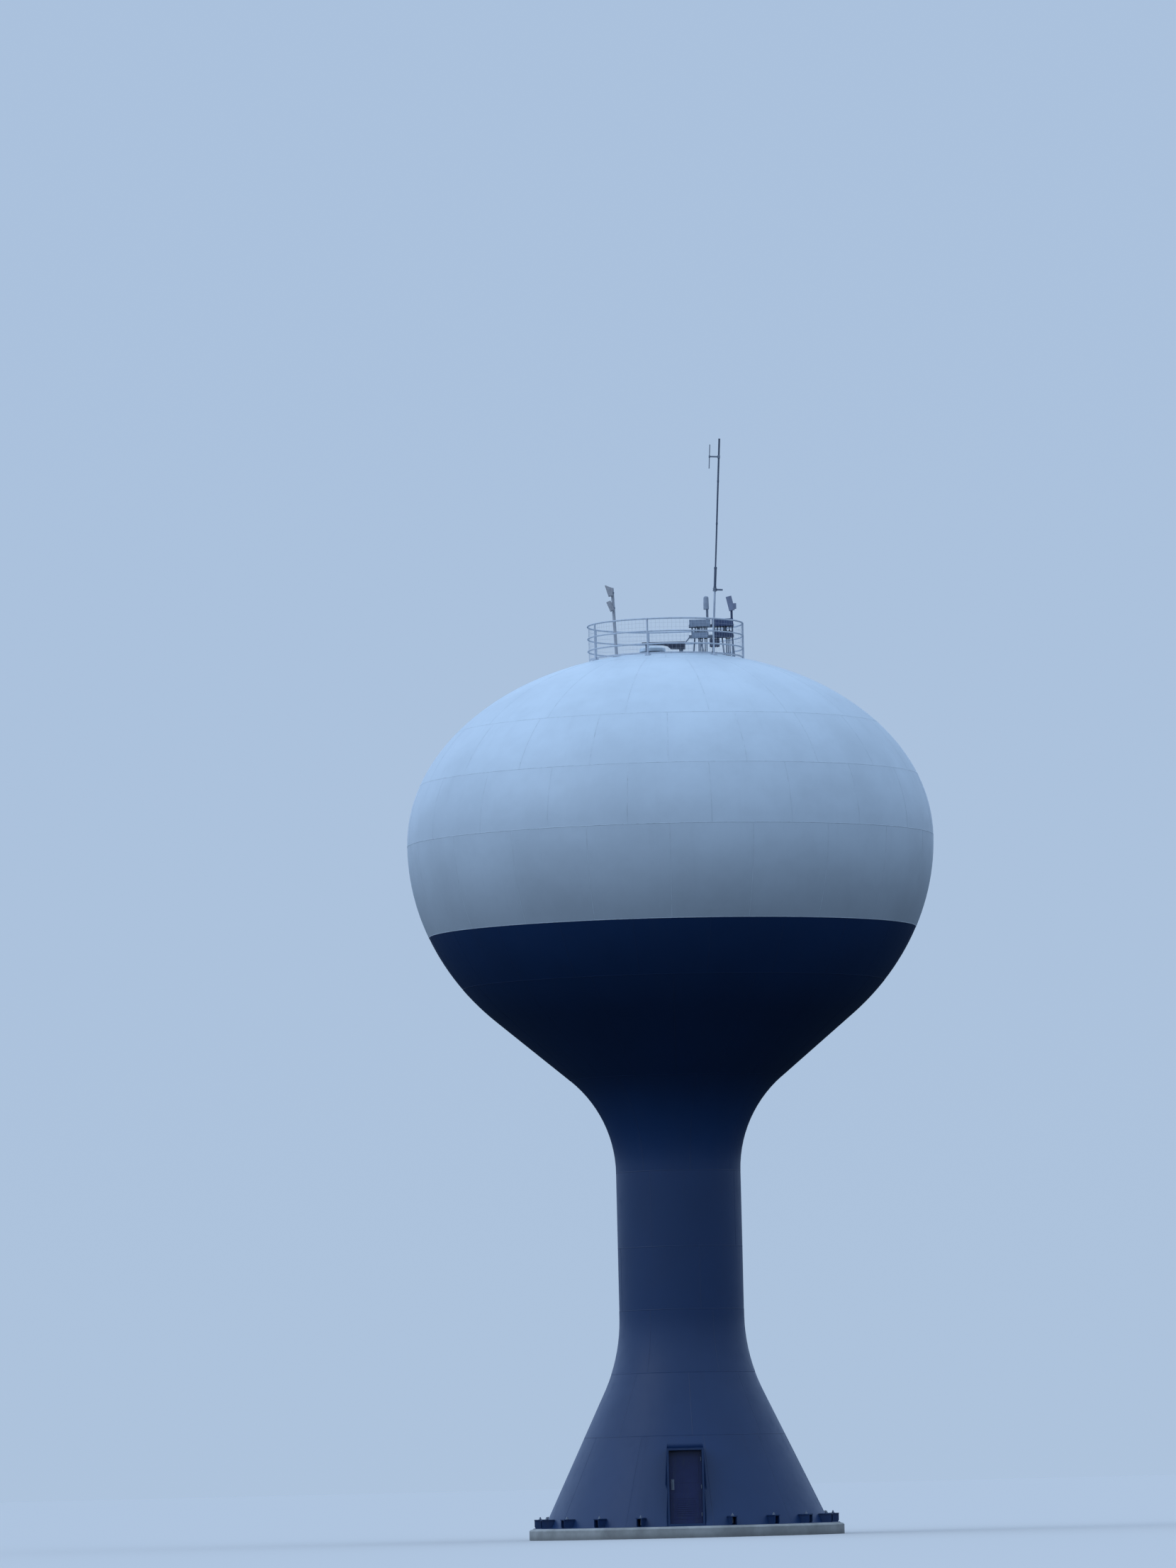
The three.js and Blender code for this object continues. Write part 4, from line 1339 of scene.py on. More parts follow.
@dataclass
class Handrail(Assembly):
    """The round handrail on the crown, in equal panels of posts, three rails, a toe bar and fine mesh."""

    panels: int = 7
    first: float = math.radians(-13.2)
    radius: float = 2.24
    post: float = 0.026
    top: float = 0.0235
    middle: float = 0.0205
    middle_drops: tuple[float, ...] = (0.36, 0.72)
    toe: float = 0.05
    toe_half: float = 0.004
    toe_lift: float = 0.055
    steps: int = 24
    wire: float = 0.002
    wire_gap: float = 0.12
    plate: FootPlate = FootPlate(0.075, -0.012, 0.01, 0.002, 0.014, 0.052)

    def build(self) -> None:
        """Builds every panel."""
        pitch = FULL_TURN / self.panels
        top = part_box("handrail_1")[1].z - self.top
        rails = [(top, self.top)] + [(top - drop, self.middle) for drop in self.middle_drops]
        for i in range(self.panels):
            draft = Draft()
            start = self.first + i * pitch
            angles = np.linspace(start, start + pitch, self.steps)
            self.upright(draft, start, top)
            for z, radius in rails:
                draft.tube([self.spot(a, z) for a in angles], radius, 16)
            self.toe_bar(draft, angles)
            self.wires(draft, angles, top)
            piece = draft.to_object(f"handrail_panel_{i + 1}", [self.finishes.zinc])
            seat(piece, Slot.GALVANISED, f"handrail_{i + 1}")

    def spot(self, angle: float, z: float, out: float = 0.0) -> Vector:
        """A point over the ring, turned from the front towards +X."""
        reach = self.radius + out
        return Vector((reach * math.sin(angle), -reach * math.cos(angle), z))

    def upright(self, draft: Draft, angle: float, top: float) -> None:
        """Adds a post with its sloping foot plate, bolts and collar.

        Args:
            draft: The mesh to add to.
            angle: The post's turn from the front.
            top: The top rail's middle.
        """
        foot = self.outline.height(self.radius)
        place = self.spot(angle, foot - 0.02)
        draft.post(place, 0.32, top, self.post, 20)
        self.plate.add_to(draft, self.outline, place.x, place.y)
        radii = (self.post + 0.012, self.post + 0.002)
        draft.cone(radii, -0.01, 0.03, shift(place.x, place.y, foot + 0.012), 20)

    def wires(self, draft: Draft, angles: np.ndarray, top: float) -> None:
        """Adds the welded wire mesh between two posts, on the inner side of the rails.

        Args:
            draft: The mesh to add to.
            angles: The panel's turns, from one post to the next.
            top: The top rail's middle.
        """
        start, end = angles[0], angles[-1]
        low = self.outline.height(self.radius) + self.toe_lift
        inward = -self.middle - self.wire
        count = round((end - start) * self.radius / self.wire_gap)
        for i in range(1, count):
            angle = start + (end - start) * i / count
            draft.tube([self.spot(angle, low, inward), self.spot(angle, top, inward)], self.wire, 6)
        levels = round((top - low) / self.wire_gap)
        for i in range(1, levels):
            z = low + (top - low) * i / levels
            draft.tube([self.spot(a, z, inward - 2 * self.wire) for a in angles], self.wire, 6)

    def toe_bar(self, draft: Draft, angles: np.ndarray) -> None:
        """Adds the flat bar that runs along the crown.

        Args:
            draft: The mesh to add to.
            angles: The panel's turns, from one post to the next.
        """
        middle = self.outline.height(self.radius) + self.toe_lift
        inner, outer = (side * self.toe_half - self.post - self.toe_half for side in (-1, 1))
        low, high = middle - self.toe / 2, middle + self.toe / 2
        corners = ((inner, low), (outer, low), (outer, high), (inner, high))
        rows = [[self.spot(angle, z, out) for out, z in corners] for angle in angles]
        draft.grid(np.array(rows), False)


@dataclass
class RadioBox:
    """A finned radio housing with back brackets and cable glands, in place of one solid."""

    node: str
    fins: int
    material: Material
    finishes: Finishes
    split: float = 0.45
    margin: float = 0.02
    fin_half: float = 0.005
    fin_foot: float = 0.03
    bracket_inset: float = 0.12
    bracket_half: float = 0.03
    glands: int = 5

    def build(self) -> None:
        """Builds the housing inside its solid's box."""
        low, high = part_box(self.node)
        width = high.x - low.x
        margin = self.margin
        foot, top = low.z + self.fin_foot, high.z - margin
        split = low.y + self.split * (high.y - low.y)
        draft = Draft()
        draft.box((low.x, split, low.z + 0.012), (high.x, high.y - 0.012, high.z))
        for i in range(self.fins):
            x = low.x + margin + (width - 2 * margin) * i / (self.fins - 1)
            draft.box((x - self.fin_half, low.y + 0.01, foot), (x + self.fin_half, split + 0.002, top))
        draft.box((low.x + margin, low.y + 0.028, foot), (high.x - margin, split, top))
        for x in (low.x + self.bracket_inset, high.x - self.bracket_inset):
            corner = (x + self.bracket_half, high.y, high.z - self.fin_foot)
            draft.box((x - self.bracket_half, high.y - 0.014, foot), corner, None, 1)
        for i in range(self.glands):
            x = low.x + width * (i + 1) / (self.glands + 1)
            draft.gland(shift(x, (split + high.y) / 2, low.z), 0.013, 0.014, 2)
        finishes = [self.material, self.finishes.dull_zinc, self.finishes.rubber]
        draft.place(f"{self.node}_housing", finishes, Slot.DARK, self.node, bevel=0.004)


@dataclass
class JunctionBox:
    """A weatherproof cabinet with a lapped door, hinges and latches, in place of one solid."""

    node: str
    finishes: Finishes
    door_edge: float = 0.006
    fitting_inset: float = 0.03
    rib_inset: float = 0.1
    rib_half: float = 0.004
    bracket_inset: float = 0.06
    bracket_half: float = 0.02

    def build(self) -> None:
        """Builds the cabinet inside its solid's box."""
        low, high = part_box(self.node)
        edge = self.door_edge
        draft = Draft()
        draft.box((low.x, low.y + 0.03, low.z), (high.x, high.y - 0.01, high.z))
        draft.box((low.x + edge, low.y + 0.012, low.z + edge), (high.x - edge, low.y + 0.032, high.z - edge))
        latch = (high.x - 0.03, high.x - 0.01, 0.002, 0.012)
        hinge = (low.x + 0.012, low.x + 0.022, 0.004, 0.02)
        for z in (low.z + self.fitting_inset, high.z - self.fitting_inset):
            for x0, x1, proud, half in (latch, hinge):
                draft.box((x0, low.y + proud, z - half), (x1, low.y + 0.014, z + half), None, 1)
        middle = (low.z + high.z) / 2
        corner = (high.x - self.rib_inset, low.y + 0.013, middle + self.rib_half)
        draft.box((low.x + self.rib_inset, low.y + 0.009, middle - self.rib_half), corner)
        for x in (low.x + self.bracket_inset, high.x - self.bracket_inset):
            corner = (x + self.bracket_half, high.y, high.z - 0.02)
            draft.box((x - self.bracket_half, high.y - 0.012, low.z + 0.02), corner, None, 1)
        draft.place(
            f"{self.node}_cabinet", [self.finishes.grey, self.finishes.dull_zinc],
            Slot.GREY, self.node, bevel=0.004
        )


@dataclass
class Mast(Assembly):
    """The leaning whip mast: foot, lower tube, collar, tapered upper tube and a side dipole."""

    x: float = 1.365
    y: float = 0.0
    lean: float = math.radians(3.08)
    stand_off: float = 0.03
    foot_half: float = 0.15
    pad_half: float = 0.13
    pad_drop: float = 0.045
    foot_plate: float = 0.02
    foot_bolt: float = 0.016
    foot_bolt_reach: float = 0.115
    socket: float = 0.02
    webs: int = 4
    lower_radius: float = 0.0295
    joint: float = 27.23
    collar_height: float = 0.09
    collar_radius: float = 0.06
    collar_waist: float = 0.048
    bracket: tuple[float, float] = (0.04, 0.228)
    bracket_bolts: tuple[float, ...] = (0.12, 0.19)
    base_radius: float = 0.0425
    base_height: float = 0.62
    upper_foot: float = 0.0225
    upper_tip: float = 0.0275
    bands: tuple[tuple[float, float], ...] = ((0.33, 0.005), (0.66, 0.004))
    arm: float = 31.14
    arm_reach: float = 0.27
    arm_half: float = 0.021
    clamp_half: float = 0.038
    dipole_half: float = 0.345
    dipole_radius: float = 0.0135
    dipole_clamp: float = 0.022

    def __post_init__(self) -> None:
        """Finds where the mast stands on the crown, and its own upright frame."""
        self.base = self.ground(self.x, self.y)
        self.stand = self.base + self.stand_off
        self.frame = shift(self.x, self.y, self.stand) @ rotate(self.lean, "Y")
        self.tip = (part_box("mast_upper")[1].z - self.stand) / math.cos(self.lean) - 0.001

    def centre(self, z: float) -> Vector:
        """The mast's middle at a height above ground."""
        return self.frame @ Vector((0, 0, (z - self.stand) / math.cos(self.lean)))

    def build(self) -> None:
        """Builds the five pieces."""
        joint = self.joint - self.stand
        self.foot()
        lower = Draft()
        self.pole(lower, (0.0, joint), (self.lower_radius, self.lower_radius))
        lower.place("mast_lower_tube", [self.finishes.zinc], Slot.GALVANISED, "mast_lower")
        self.collar(joint)
        self.whip(joint + self.collar_height)
        self.dipole()

    def foot(self) -> None:
        """Builds the bolted foot plate on its pad, with the webbed socket that holds the mast."""
        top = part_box("mast_foot")[1].z
        plate_low = top - self.foot_plate
        spot = shift(self.x, self.y, 0)
        draft = Draft()
        for half, low, high in (
            (self.foot_half, plate_low, top),
            (self.pad_half, self.base - self.pad_drop, plate_low),
        ):
            draft.box((-half, -half, low), (half, half, high), spot)
        draft.bolts(spot, self.foot_bolt_reach, top, self.foot_bolt)
        inner = self.lower_radius + 0.002
        outer = inner + self.socket
        draft.lathe([(inner, -0.02), (outer, -0.02), (outer, 0.06), (inner, 0.07)], self.frame, 32)
        near, far = outer - 0.002, inner + 0.085
        web = [(near, 0.03), (far, 0.03), (far, 0.036), (near, 0.058)]
        for i in range(self.webs):
            draft.prism(web, (-0.004, 0.004), self.frame @ rotate(FULL_TURN * (i + 0.5) / self.webs, "Z"))
        draft.place(
            "mast_foot_plates", [self.finishes.dull_zinc], Slot.GALVANISED, "mast_foot", bevel=0.002
        )

    def whip(self, low: float) -> None:
        """Builds the tapered whip with the stout sleeve at its foot, and two bands round it.

        Args:
            low: The sleeve's foot, along the mast.
        """
        radius, high = self.base_radius, low + self.base_height
        waist = radius - 0.005
        sleeve = [(AXIS, low), (radius, low), (radius, low + 0.05), (waist, low + 0.055)]
        sleeve += [(waist, high - 0.065), (radius, high - 0.06), (radius, high - 0.012)]
        draft = Draft()
        draft.lathe([*sleeve, (radius - 0.01, high), (AXIS, high)], self.frame, 28)
        start = high - 0.01
        self.pole(draft, (start, self.tip), (self.upper_foot, self.upper_tip))
        for share, grow in self.bands:
            z = start + share * (self.tip - start)
            thin = self.upper_foot + share * (self.upper_tip - self.upper_foot)
            inner, outer = thin - 0.002, thin + grow
            band = [(inner, z), (outer, z + 0.005), (outer, z + 0.06), (inner, z + 0.065)]
            draft.lathe(band, self.frame, 20)
        draft.place("mast_upper_whip", [self.finishes.whip], Slot.GALVANISED, "mast_upper")

    def pole(self, draft: Draft, ends: tuple[float, float], radii: tuple[float, float]) -> None:
        """Adds a tapered tube on the mast's own line.

        Args:
            draft: The mesh to add to.
            ends: Its foot and top, along the mast.
            radii: Its radius at each.
        """
        low, high = ends
        foot, tip = radii
        side = [(foot + (tip - foot) * s, low + (high - low) * s) for s in np.linspace(0, 1, 12)]
        draft.lathe([(AXIS, low), *side, (AXIS, high)], self.frame, 24)

    def collar(self, joint: float) -> None:
        """Builds the collar that joins both tubes, with its outrigger bar.

        Args:
            joint: The collar's foot, along the mast.
        """
        top = joint + self.collar_height
        ring, waist = self.collar_radius, self.collar_waist
        flange = ring - 0.004
        outline = [(AXIS, joint), (flange, joint), (ring, joint + 0.004), (ring, joint + 0.03)]
        outline += [(waist, joint + 0.036), (waist, top - 0.036), (ring, top - 0.03), (ring, top - 0.004)]
        draft = Draft()
        draft.lathe([*outline, (flange, top), (AXIS, top)], self.frame, 28)
        near, far = self.bracket
        draft.box((near, -0.026, joint + 0.022), (far, 0.026, joint + 0.03), self.frame)
        draft.box((near, -0.004, joint + 0.03), (far, 0.004, joint + 0.074), self.frame)
        for x in self.bracket_bolts:
            draft.bolt(self.frame @ shift(x, 0.014, joint + 0.03), 0.01)
        draft.place(
            "mast_collar_rings", [self.finishes.dull_zinc], Slot.GALVANISED, "mast_collar", bevel=0.001
        )

    def dipole(self) -> None:
        """Builds the side arm near the tip with its upright dipole."""
        z = self.arm - self.stand
        reach, half, clamp = self.arm_reach, self.dipole_half, self.clamp_half
        draft = Draft()
        draft.box((-reach, -0.0125, z - self.arm_half), (0.03, 0.0125, z + self.arm_half), self.frame)
        draft.box((-clamp, -clamp, z - 0.04), (clamp, clamp, z + 0.04), self.frame)
        line = [self.frame @ Vector((-reach, 0.0, z + up)) for up in (-half, 0.0, half)]
        draft.tube(line, self.dipole_radius, 14)
        for up in (-half, half):
            draft.rod(self.dipole_radius + 0.001, -0.004, 0.004, self.frame @ shift(-reach, 0, z + up), 14)
        clamp = self.dipole_clamp
        draft.box((-reach - clamp, -clamp, z - 0.03), (-reach + clamp, clamp, z + 0.03), self.frame)
        draft.place(
            "mast_side_dipole", [self.finishes.dull_zinc], Slot.GALVANISED, "mast_dipole", bevel=0.001
        )


@dataclass(frozen=True)
class RackLeg:
    """One leg: where its line starts and would end across the front, and how far forward or back it ends."""

    top: float
    foot: float
    reach: float


@dataclass
class EquipmentRack(Assembly):
    """Two channel beams on legs, with radio and junction boxes on their front."""

    mast: Mast
    legs: tuple[RackLeg, ...] = (
        RackLeg(0.99, 1.16, -0.3),
        RackLeg(1.64, 1.70, -0.3),
        RackLeg(1.935, 1.935, -0.3),
        RackLeg(0.85, 0.79, 0.45),
        RackLeg(1.935, 2.0, 0.45),
    )
    leg_end: float = 25.2
    leg: float = 0.022
    leg_plate: FootPlate = FootPlate(0.06, -0.01, 0.012, 0.0, 0.012, 0.042, (0,))
    posts: tuple[float, ...] = (0.78, 0.985, 1.19, 1.51, 1.725, 1.94)
    post_half: tuple[float, float] = (0.025, 0.03)
    beam_height: float = 0.09
    beam_depth: float = 0.09
    beam_wall: float = 0.008
    beam_lap: float = 0.015
    upper: float = 26.165
    lower: float = 25.86
    y: float = -0.15
    strap: float = 0.007
    strap_lap: float = 0.02
    clamp_half: tuple[float, float] = (0.075, 0.035)
    box_y: float = -0.27
    radio_links: tuple[float, ...] = (1.43, 1.515, 1.60, 1.685, 1.77, 1.855)
    junction_links: tuple[float, ...] = (0.87, 0.935, 1.0, 1.065, 1.13, 1.195)
    left_risers: tuple[float, ...] = (0.965, 1.015, 1.065, 1.145, 1.195)
    right_risers: tuple[float, ...] = (1.76, 1.81, 1.86)
    radio_conduit: float = 0.022
    junction_conduit: float = 0.024
    riser: float = 0.017
    nut_lap: float = 0.007
    nut_height: float = 0.022
    splice_glands: int = 4

    def build(self) -> None:
        """Builds the frame and its boxes."""
        finishes = self.finishes
        self.steelwork()
        RadioBox("radio_box_upper", 12, finishes.slate_blue, finishes).build()
        RadioBox("radio_box_lower", 11, finishes.slate, finishes).build()
        JunctionBox("junction_box_upper", finishes).build()
        JunctionBox("junction_box_lower", finishes).build()
        self.splice_box()
        self.conduits()

    def steelwork(self) -> None:
        """Builds the beams, posts, legs and mast clamps as one piece."""
        left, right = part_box("equipment_rack")[0].x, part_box("radio_box_upper")[1].x + self.beam_lap
        draft = Draft()
        for level in (self.upper, self.lower):
            self.channel(draft, left, right, level)
        wide, deep = self.post_half
        for x in self.posts:
            corner = (x + wide, self.y + deep, self.upper + 0.06)
            draft.box((x - wide, self.y - deep, self.lower + 0.01), corner)
        for leg in self.legs:
            ground = self.ground(leg.foot, self.y + leg.reach)
            top = Vector((leg.top, self.y, self.lower + self.leg))
            full = Vector((leg.foot, self.y + leg.reach, self.leg_end))
            foot = top.lerp(full, (top.z - ground) / (top.z - full.z))
            draft.tube([top, top.lerp(foot, 0.5), foot], self.leg, 14)
            self.leg_plate.add_to(draft, self.outline, foot.x, foot.y)
        self.mast_clamps(draft)
        draft.place(
            "equipment_rack_steel", [self.finishes.dull_zinc], Slot.GALVANISED, "equipment_rack", bevel=0.002
        )

    def channel(self, draft: Draft, left: float, right: float, z: float) -> None:
        """Adds one beam as a channel that opens to the back, with a plate across each end.

        Args:
            draft: The mesh to add to.
            left: The beam's left end.
            right: The beam's right end.
            z: The beam's underside.
        """
        wall, top = self.beam_wall, z + self.beam_height
        front, back = self.y - self.beam_depth / 2, self.y + self.beam_depth / 2
        inside = front + wall
        draft.box((left, front, z), (right, inside, top))
        for level in (z, top - wall):
            draft.box((left, inside, level), (right, back, level + wall))
        for x in (left + 0.004, right - 0.012):
            draft.box((x, inside, z + wall), (x + wall, back - 0.004, top - wall))

    def mast_clamps(self, draft: Draft) -> None:
        """Adds the blocks and bent straps that hold the mast to both beams.

        Args:
            draft: The mesh to add to.
        """
        back = self.y + self.beam_depth / 2
        wide, tall = self.clamp_half
        radius = self.mast.lower_radius + self.strap
        for level in (self.upper, self.lower):
            z = level + self.beam_height / 2
            x, y, _ = self.mast.centre(z)
            draft.box((x - wide, back - 0.004, z - tall), (x + wide, y - 0.02, z + tall))
            turns = np.linspace(0, math.pi, 13)
            arc = [(x - radius * math.cos(t), y + radius * math.sin(t), z) for t in turns]
            ends = [(x + side * radius, back + self.strap_lap, z) for side in (-1, 1)]
            draft.tube([ends[0], *arc, ends[1]], self.strap, 10)

    def conduits(self) -> None:
        """Builds the rigid conduits that join the boxes to each other and to the roof."""
        draft = Draft()
        for kind, places, radius in (
            ("radio_box", self.radio_links, self.radio_conduit),
            ("junction_box", self.junction_links, self.junction_conduit),
        ):
            low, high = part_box(f"{kind}_lower")[1].z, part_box(f"{kind}_upper")[0].z
            for x in places:
                self.conduit(draft, x, low, high, radius)
        for kind, places in (("junction_box", self.left_risers), ("radio_box", self.right_risers)):
            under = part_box(f"{kind}_lower")[0].z
            self.roof_plate(draft, places[0], places[-1])
            for x in places:
                self.conduit(draft, x, self.ground(x, self.box_y), under, self.riser)
        draft.place("rack_conduits", [self.finishes.dull_zinc, self.finishes.rubber], Slot.GALVANISED)

    def roof_plate(self, draft: Draft, left: float, right: float) -> None:
        """Adds the plate that a row of conduits passes through, lying along the roof's slope.

        Args:
            draft: The mesh to add to.
            left: The first conduit's place.
            right: The last conduit's place.
        """
        ends = [Vector((x, self.box_y, self.ground(x, self.box_y))) for x in (left, right)]
        middle, run = (ends[0] + ends[1]) / 2, ends[1] - ends[0]
        half = run.length / 2 + 0.045
        spot = shift(*middle) @ rotate(-math.atan2(run.z, run.x), "Y")
        draft.box((-half, -0.05, -0.02), (half, 0.05, 0.008), spot)

    def conduit(self, draft: Draft, x: float, low: float, high: float, radius: float) -> None:
        """Adds one rigid upright conduit with a gland nut at each end.

        Args:
            draft: The mesh to add to.
            x: Its place across the front.
            low: Its foot.
            high: Its top.
            radius: Its radius.
        """
        draft.tube([(x, self.box_y, z) for z in (low, (low + high) / 2, high)], radius, 12)
        nut, tall = radius + self.nut_lap, self.nut_height
        for z, foot, top in ((low, 0.0, tall), (high, -tall, 0.0)):
            draft.rod(nut, foot, top, shift(x, self.box_y, z), 6, 1)

    def splice_box(self) -> None:
        """Builds the small cabinet that hangs under the lower beam, with cable glands below."""
        low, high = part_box("splice_box")
        draft = Draft()
        draft.box((low.x + 0.004, low.y + 0.014, low.z + 0.014), (high.x - 0.004, high.y, high.z - 0.02))
        draft.box((low.x, low.y, low.z + 0.02), (high.x, low.y + 0.016, high.z - 0.03))
        for x in (low.x + 0.05, high.x - 0.05):
            draft.box((x - 0.02, low.y + 0.03, high.z - 0.022), (x + 0.02, high.y - 0.02, high.z), None, 1)
            latch = (x - 0.012, low.y - 0.001, low.z + 0.05)
            draft.box(latch, (x + 0.012, low.y + 0.003, low.z + 0.08), None, 1)
        for i in range(self.splice_glands):
            x = low.x + (high.x - low.x) * (i + 1) / (self.splice_glands + 1)
            draft.gland(shift(x, (low.y + high.y) / 2, low.z), 0.014, 0.016, 2)
        finishes = [self.finishes.steel_blue, self.finishes.dull_zinc, self.finishes.rubber]
        draft.place("splice_box_cabinet", finishes, Slot.DARK, "splice_box", bevel=0.004)


@dataclass
class StubAntennas(Assembly):
    """The two short antennas on the rack: a round radome, and a tilted panel with its radio."""

    left_pole: float = 0.035
    left_flange: float = 0.044
    flange_height: float = 0.012
    head_height: float = 0.4
    neck_drop: float = 0.06
    tip_share: float = 0.9
    right_x: float = 1.93
    right_top: float = 26.76
    right_pole: float = 0.033
    right_flange: float = 0.042
    panel_x: float = 1.947
    panel_low: float = 26.64
    panel_tilt: float = math.radians(-13)
    panel_half: tuple[float, float] = (0.0815, 0.058)
    panel_ends: tuple[float, float] = (0.002, 0.423)
    strap_levels: tuple[float, ...] = (0.08, 0.34)
    radio_left: float = 1.937
    radio_half: float = 0.053
    radio_ends: tuple[float, float] = (26.692, 26.848)
    ribs: int = 5
    rib_first: float = 1.985
    rib_pitch: float = 0.019
    rib_half: float = 0.003
    rib_margin: float = 0.013

    def build(self) -> None:
        """Builds both pieces."""
        self.left()
        self.right()

    def pole(self, draft: Draft, foot: Sequence[float], top: float, radius: float, flange: float) -> None:
        """Adds an upright pole on a round flange.

        Args:
            draft: The mesh to add to.
            foot: The middle of the pole's foot.
            top: The pole's top.
            radius: The pole's radius.
            flange: The flange's radius.
        """
        draft.post(foot, 0.2, top, radius, 20, 1)
        draft.rod(flange, 0, self.flange_height, shift(*foot), 24, 1)

    def left(self) -> None:
        """Builds the round radome on its thin pole."""
        low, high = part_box("stub_antenna_left")
        points = node_points("stub_antenna_left")
        head = points[points[:, 2] > high.z - self.head_height]
        foot = points[points[:, 2] < low.z + 0.01].mean(0)
        middle = (head.min(0) + head.max(0)) / 2
        radius = (head.max(0)[0] - head.min(0)[0]) / 2
        draft = Draft()
        self.pole(draft, (foot[0], foot[1], low.z), high.z - 0.37, self.left_pole, self.left_flange)
        bottom, neck = head.min(0)[2], high.z - self.neck_drop
        tip = self.tip_share * radius
        body = [(AXIS, bottom), (radius - 0.012, bottom), (radius - 0.001, bottom + 0.012), (tip, neck)]
        turns = np.linspace(0.15, RIGHT_ANGLE, 9)[:-1]
        dome = [(tip * math.cos(t), neck + self.neck_drop * math.sin(t)) for t in turns]
        draft.lathe([*body, *dome, (AXIS, high.z)], shift(middle[0], middle[1], 0), 36)
        draft.place(
            "stub_antenna_left_radome", [self.finishes.radome, self.finishes.dull_zinc],
            Slot.GREY, "stub_antenna_left"
        )

    def right(self) -> None:
        """Builds the tilted panel antenna with its radio."""
        low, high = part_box("stub_antenna_right")
        y = (low.y + high.y) / 2
        draft = Draft()
        self.pole(draft, (self.right_x, y, low.z), self.right_top, self.right_pole, self.right_flange)
        panel = shift(self.panel_x, y, self.panel_low) @ rotate(self.panel_tilt, "Y")
        (wide, deep), (under, over) = self.panel_half, self.panel_ends
        draft.box((-wide, -deep, under), (wide, deep, over), panel)
        for z in self.strap_levels:
            draft.box((-0.04, 0.02, z), (0.078, deep + 0.001, z + 0.03), panel, 1)
        (under, over), half = self.radio_ends, self.radio_half
        draft.box((self.radio_left, y - half, under), (high.x - 0.002, y + half, over))
        for i in range(self.ribs):
            x = self.rib_first + self.rib_pitch * i
            corner = (x + self.rib_half, y - half + 0.003, over - self.rib_margin)
            draft.box((x - self.rib_half, y - half - 0.002, under + self.rib_margin), corner)
        finishes = [self.finishes.blue_grey, self.finishes.slate]
        draft.place("stub_antenna_right_panel", finishes, Slot.DARK, "stub_antenna_right", bevel=0.008)


@dataclass(frozen=True)
class PoleUnit:
    """One radio unit on the leaning pole: its outline from the front, and how far its arm is below the top.

    The outline's points are distances across the pole and up from its top, counter-clockwise.
    """

    node: str
    drop: float
    outline: Outline


@dataclass
class LeaningPole(Assembly):
    """The pole that leans by the handrail's left side, with two small radio units in front of it."""

    x: float = -1.41
    y: float = -1.4
    radius: float = 0.046
    lean: float = math.radians(-2.55)
    wall_gap: float = 0.0005
    plate: FootPlate = FootPlate(0.078, -0.01, 0.012, 0.002, 0.012, 0.058)
    collar_lap: tuple[float, float] = (0.02, 0.002)
    collar_height: float = 0.05
    units: tuple[PoleUnit, ...] = (
        PoleUnit(
            "left_unit_upper", 0.146, ((-0.118, -0.258), (0.01, -0.256), (0.026, -0.022), (-0.205, 0.081))
        ),
        PoleUnit(
            "left_unit_lower", 0.586, ((-0.09, -0.699), (0.032, -0.655), (-0.07, -0.373), (-0.192, -0.417))
        ),
    )
    unit_middle: float = -0.15
    unit_back: float = -0.076
    face_depth: float = 0.03
    body_share: float = 0.985
    face_share: float = 0.9
    rib_shares: tuple[float, ...] = (0.2, 0.35, 0.5, 0.65, 0.8)
    rib_inset: float = 0.12
    rib_half: float = 0.003
    arm_half: float = 0.024
    clamp: tuple[float, float] = (-0.001, 0.006)

    def build(self) -> None:
        """Builds the pole with its foot, and both units on it."""
        x, y, radius = self.x, self.y, self.radius
        base = self.ground(x, y)
        line = shift(x, y, base) @ rotate(self.lean, "Y")
        top = (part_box("left_pole")[1].z - base) / math.cos(self.lean) - 0.004
        draft = Draft()
        draft.stud(radius - self.wall_gap, 0.0, top, (0.0055, 0.006), line, 24, 0)
        self.plate.add_to(draft, self.outline, x, y)
        draft.cone(tuple(radius + lap for lap in self.collar_lap), 0.0, self.collar_height, line, 24)
        draft.place("left_pole_tube", [self.finishes.aged_zinc], Slot.GALVANISED, "left_pole", bevel=0.001)
        for unit in self.units:
            self.unit(unit, line @ shift(0, 0, top))

    def unit(self, unit: PoleUnit, tip: Matrix) -> None:
        """Builds one small radio unit on a bracket and clamp in front of the pole.

        Args:
            unit: The unit.
            tip: The frame of the pole's top.
        """
        back = self.unit_back
        front = 2 * self.unit_middle - back
        seam = front + self.face_depth
        flat = np.array(unit.outline)
        middle = flat.mean(0)
        body, face = (middle + share * (flat - middle) for share in (self.body_share, self.face_share))
        draft = Draft()
        draft.prism(body, (seam, back), tip)
        draft.prism(face, (front + 0.001, seam + 0.002), tip)
        half = np.array([self.rib_half, 0])
        for share in self.rib_shares:
            foot, head = flat[0] + share * (flat[1] - flat[0]), flat[3] + share * (flat[2] - flat[3])
            low, high = (foot + s * (head - foot) for s in (self.rib_inset, 1 - self.rib_inset))
            draft.prism([low - half, low + half, high + half, high - half], (back - 0.002, back + 0.01), tip)
        arm, wide, radius = -unit.drop, self.arm_half, self.radius
        corner = (wide, -radius + 0.002, arm + wide)
        draft.box((-wide, self.unit_middle, arm - wide), corner, tip, 1)
        radii = tuple(radius + lap for lap in self.clamp)
        draft.ring(radii, 0, 2 * wide, tip @ shift(0, 0, arm - wide), 24, 1)
        finishes = [self.finishes.warm_grey, self.finishes.dull_zinc]
        draft.place(f"{unit.node}_housing", finishes, Slot.GREY, unit.node, bevel=0.005)


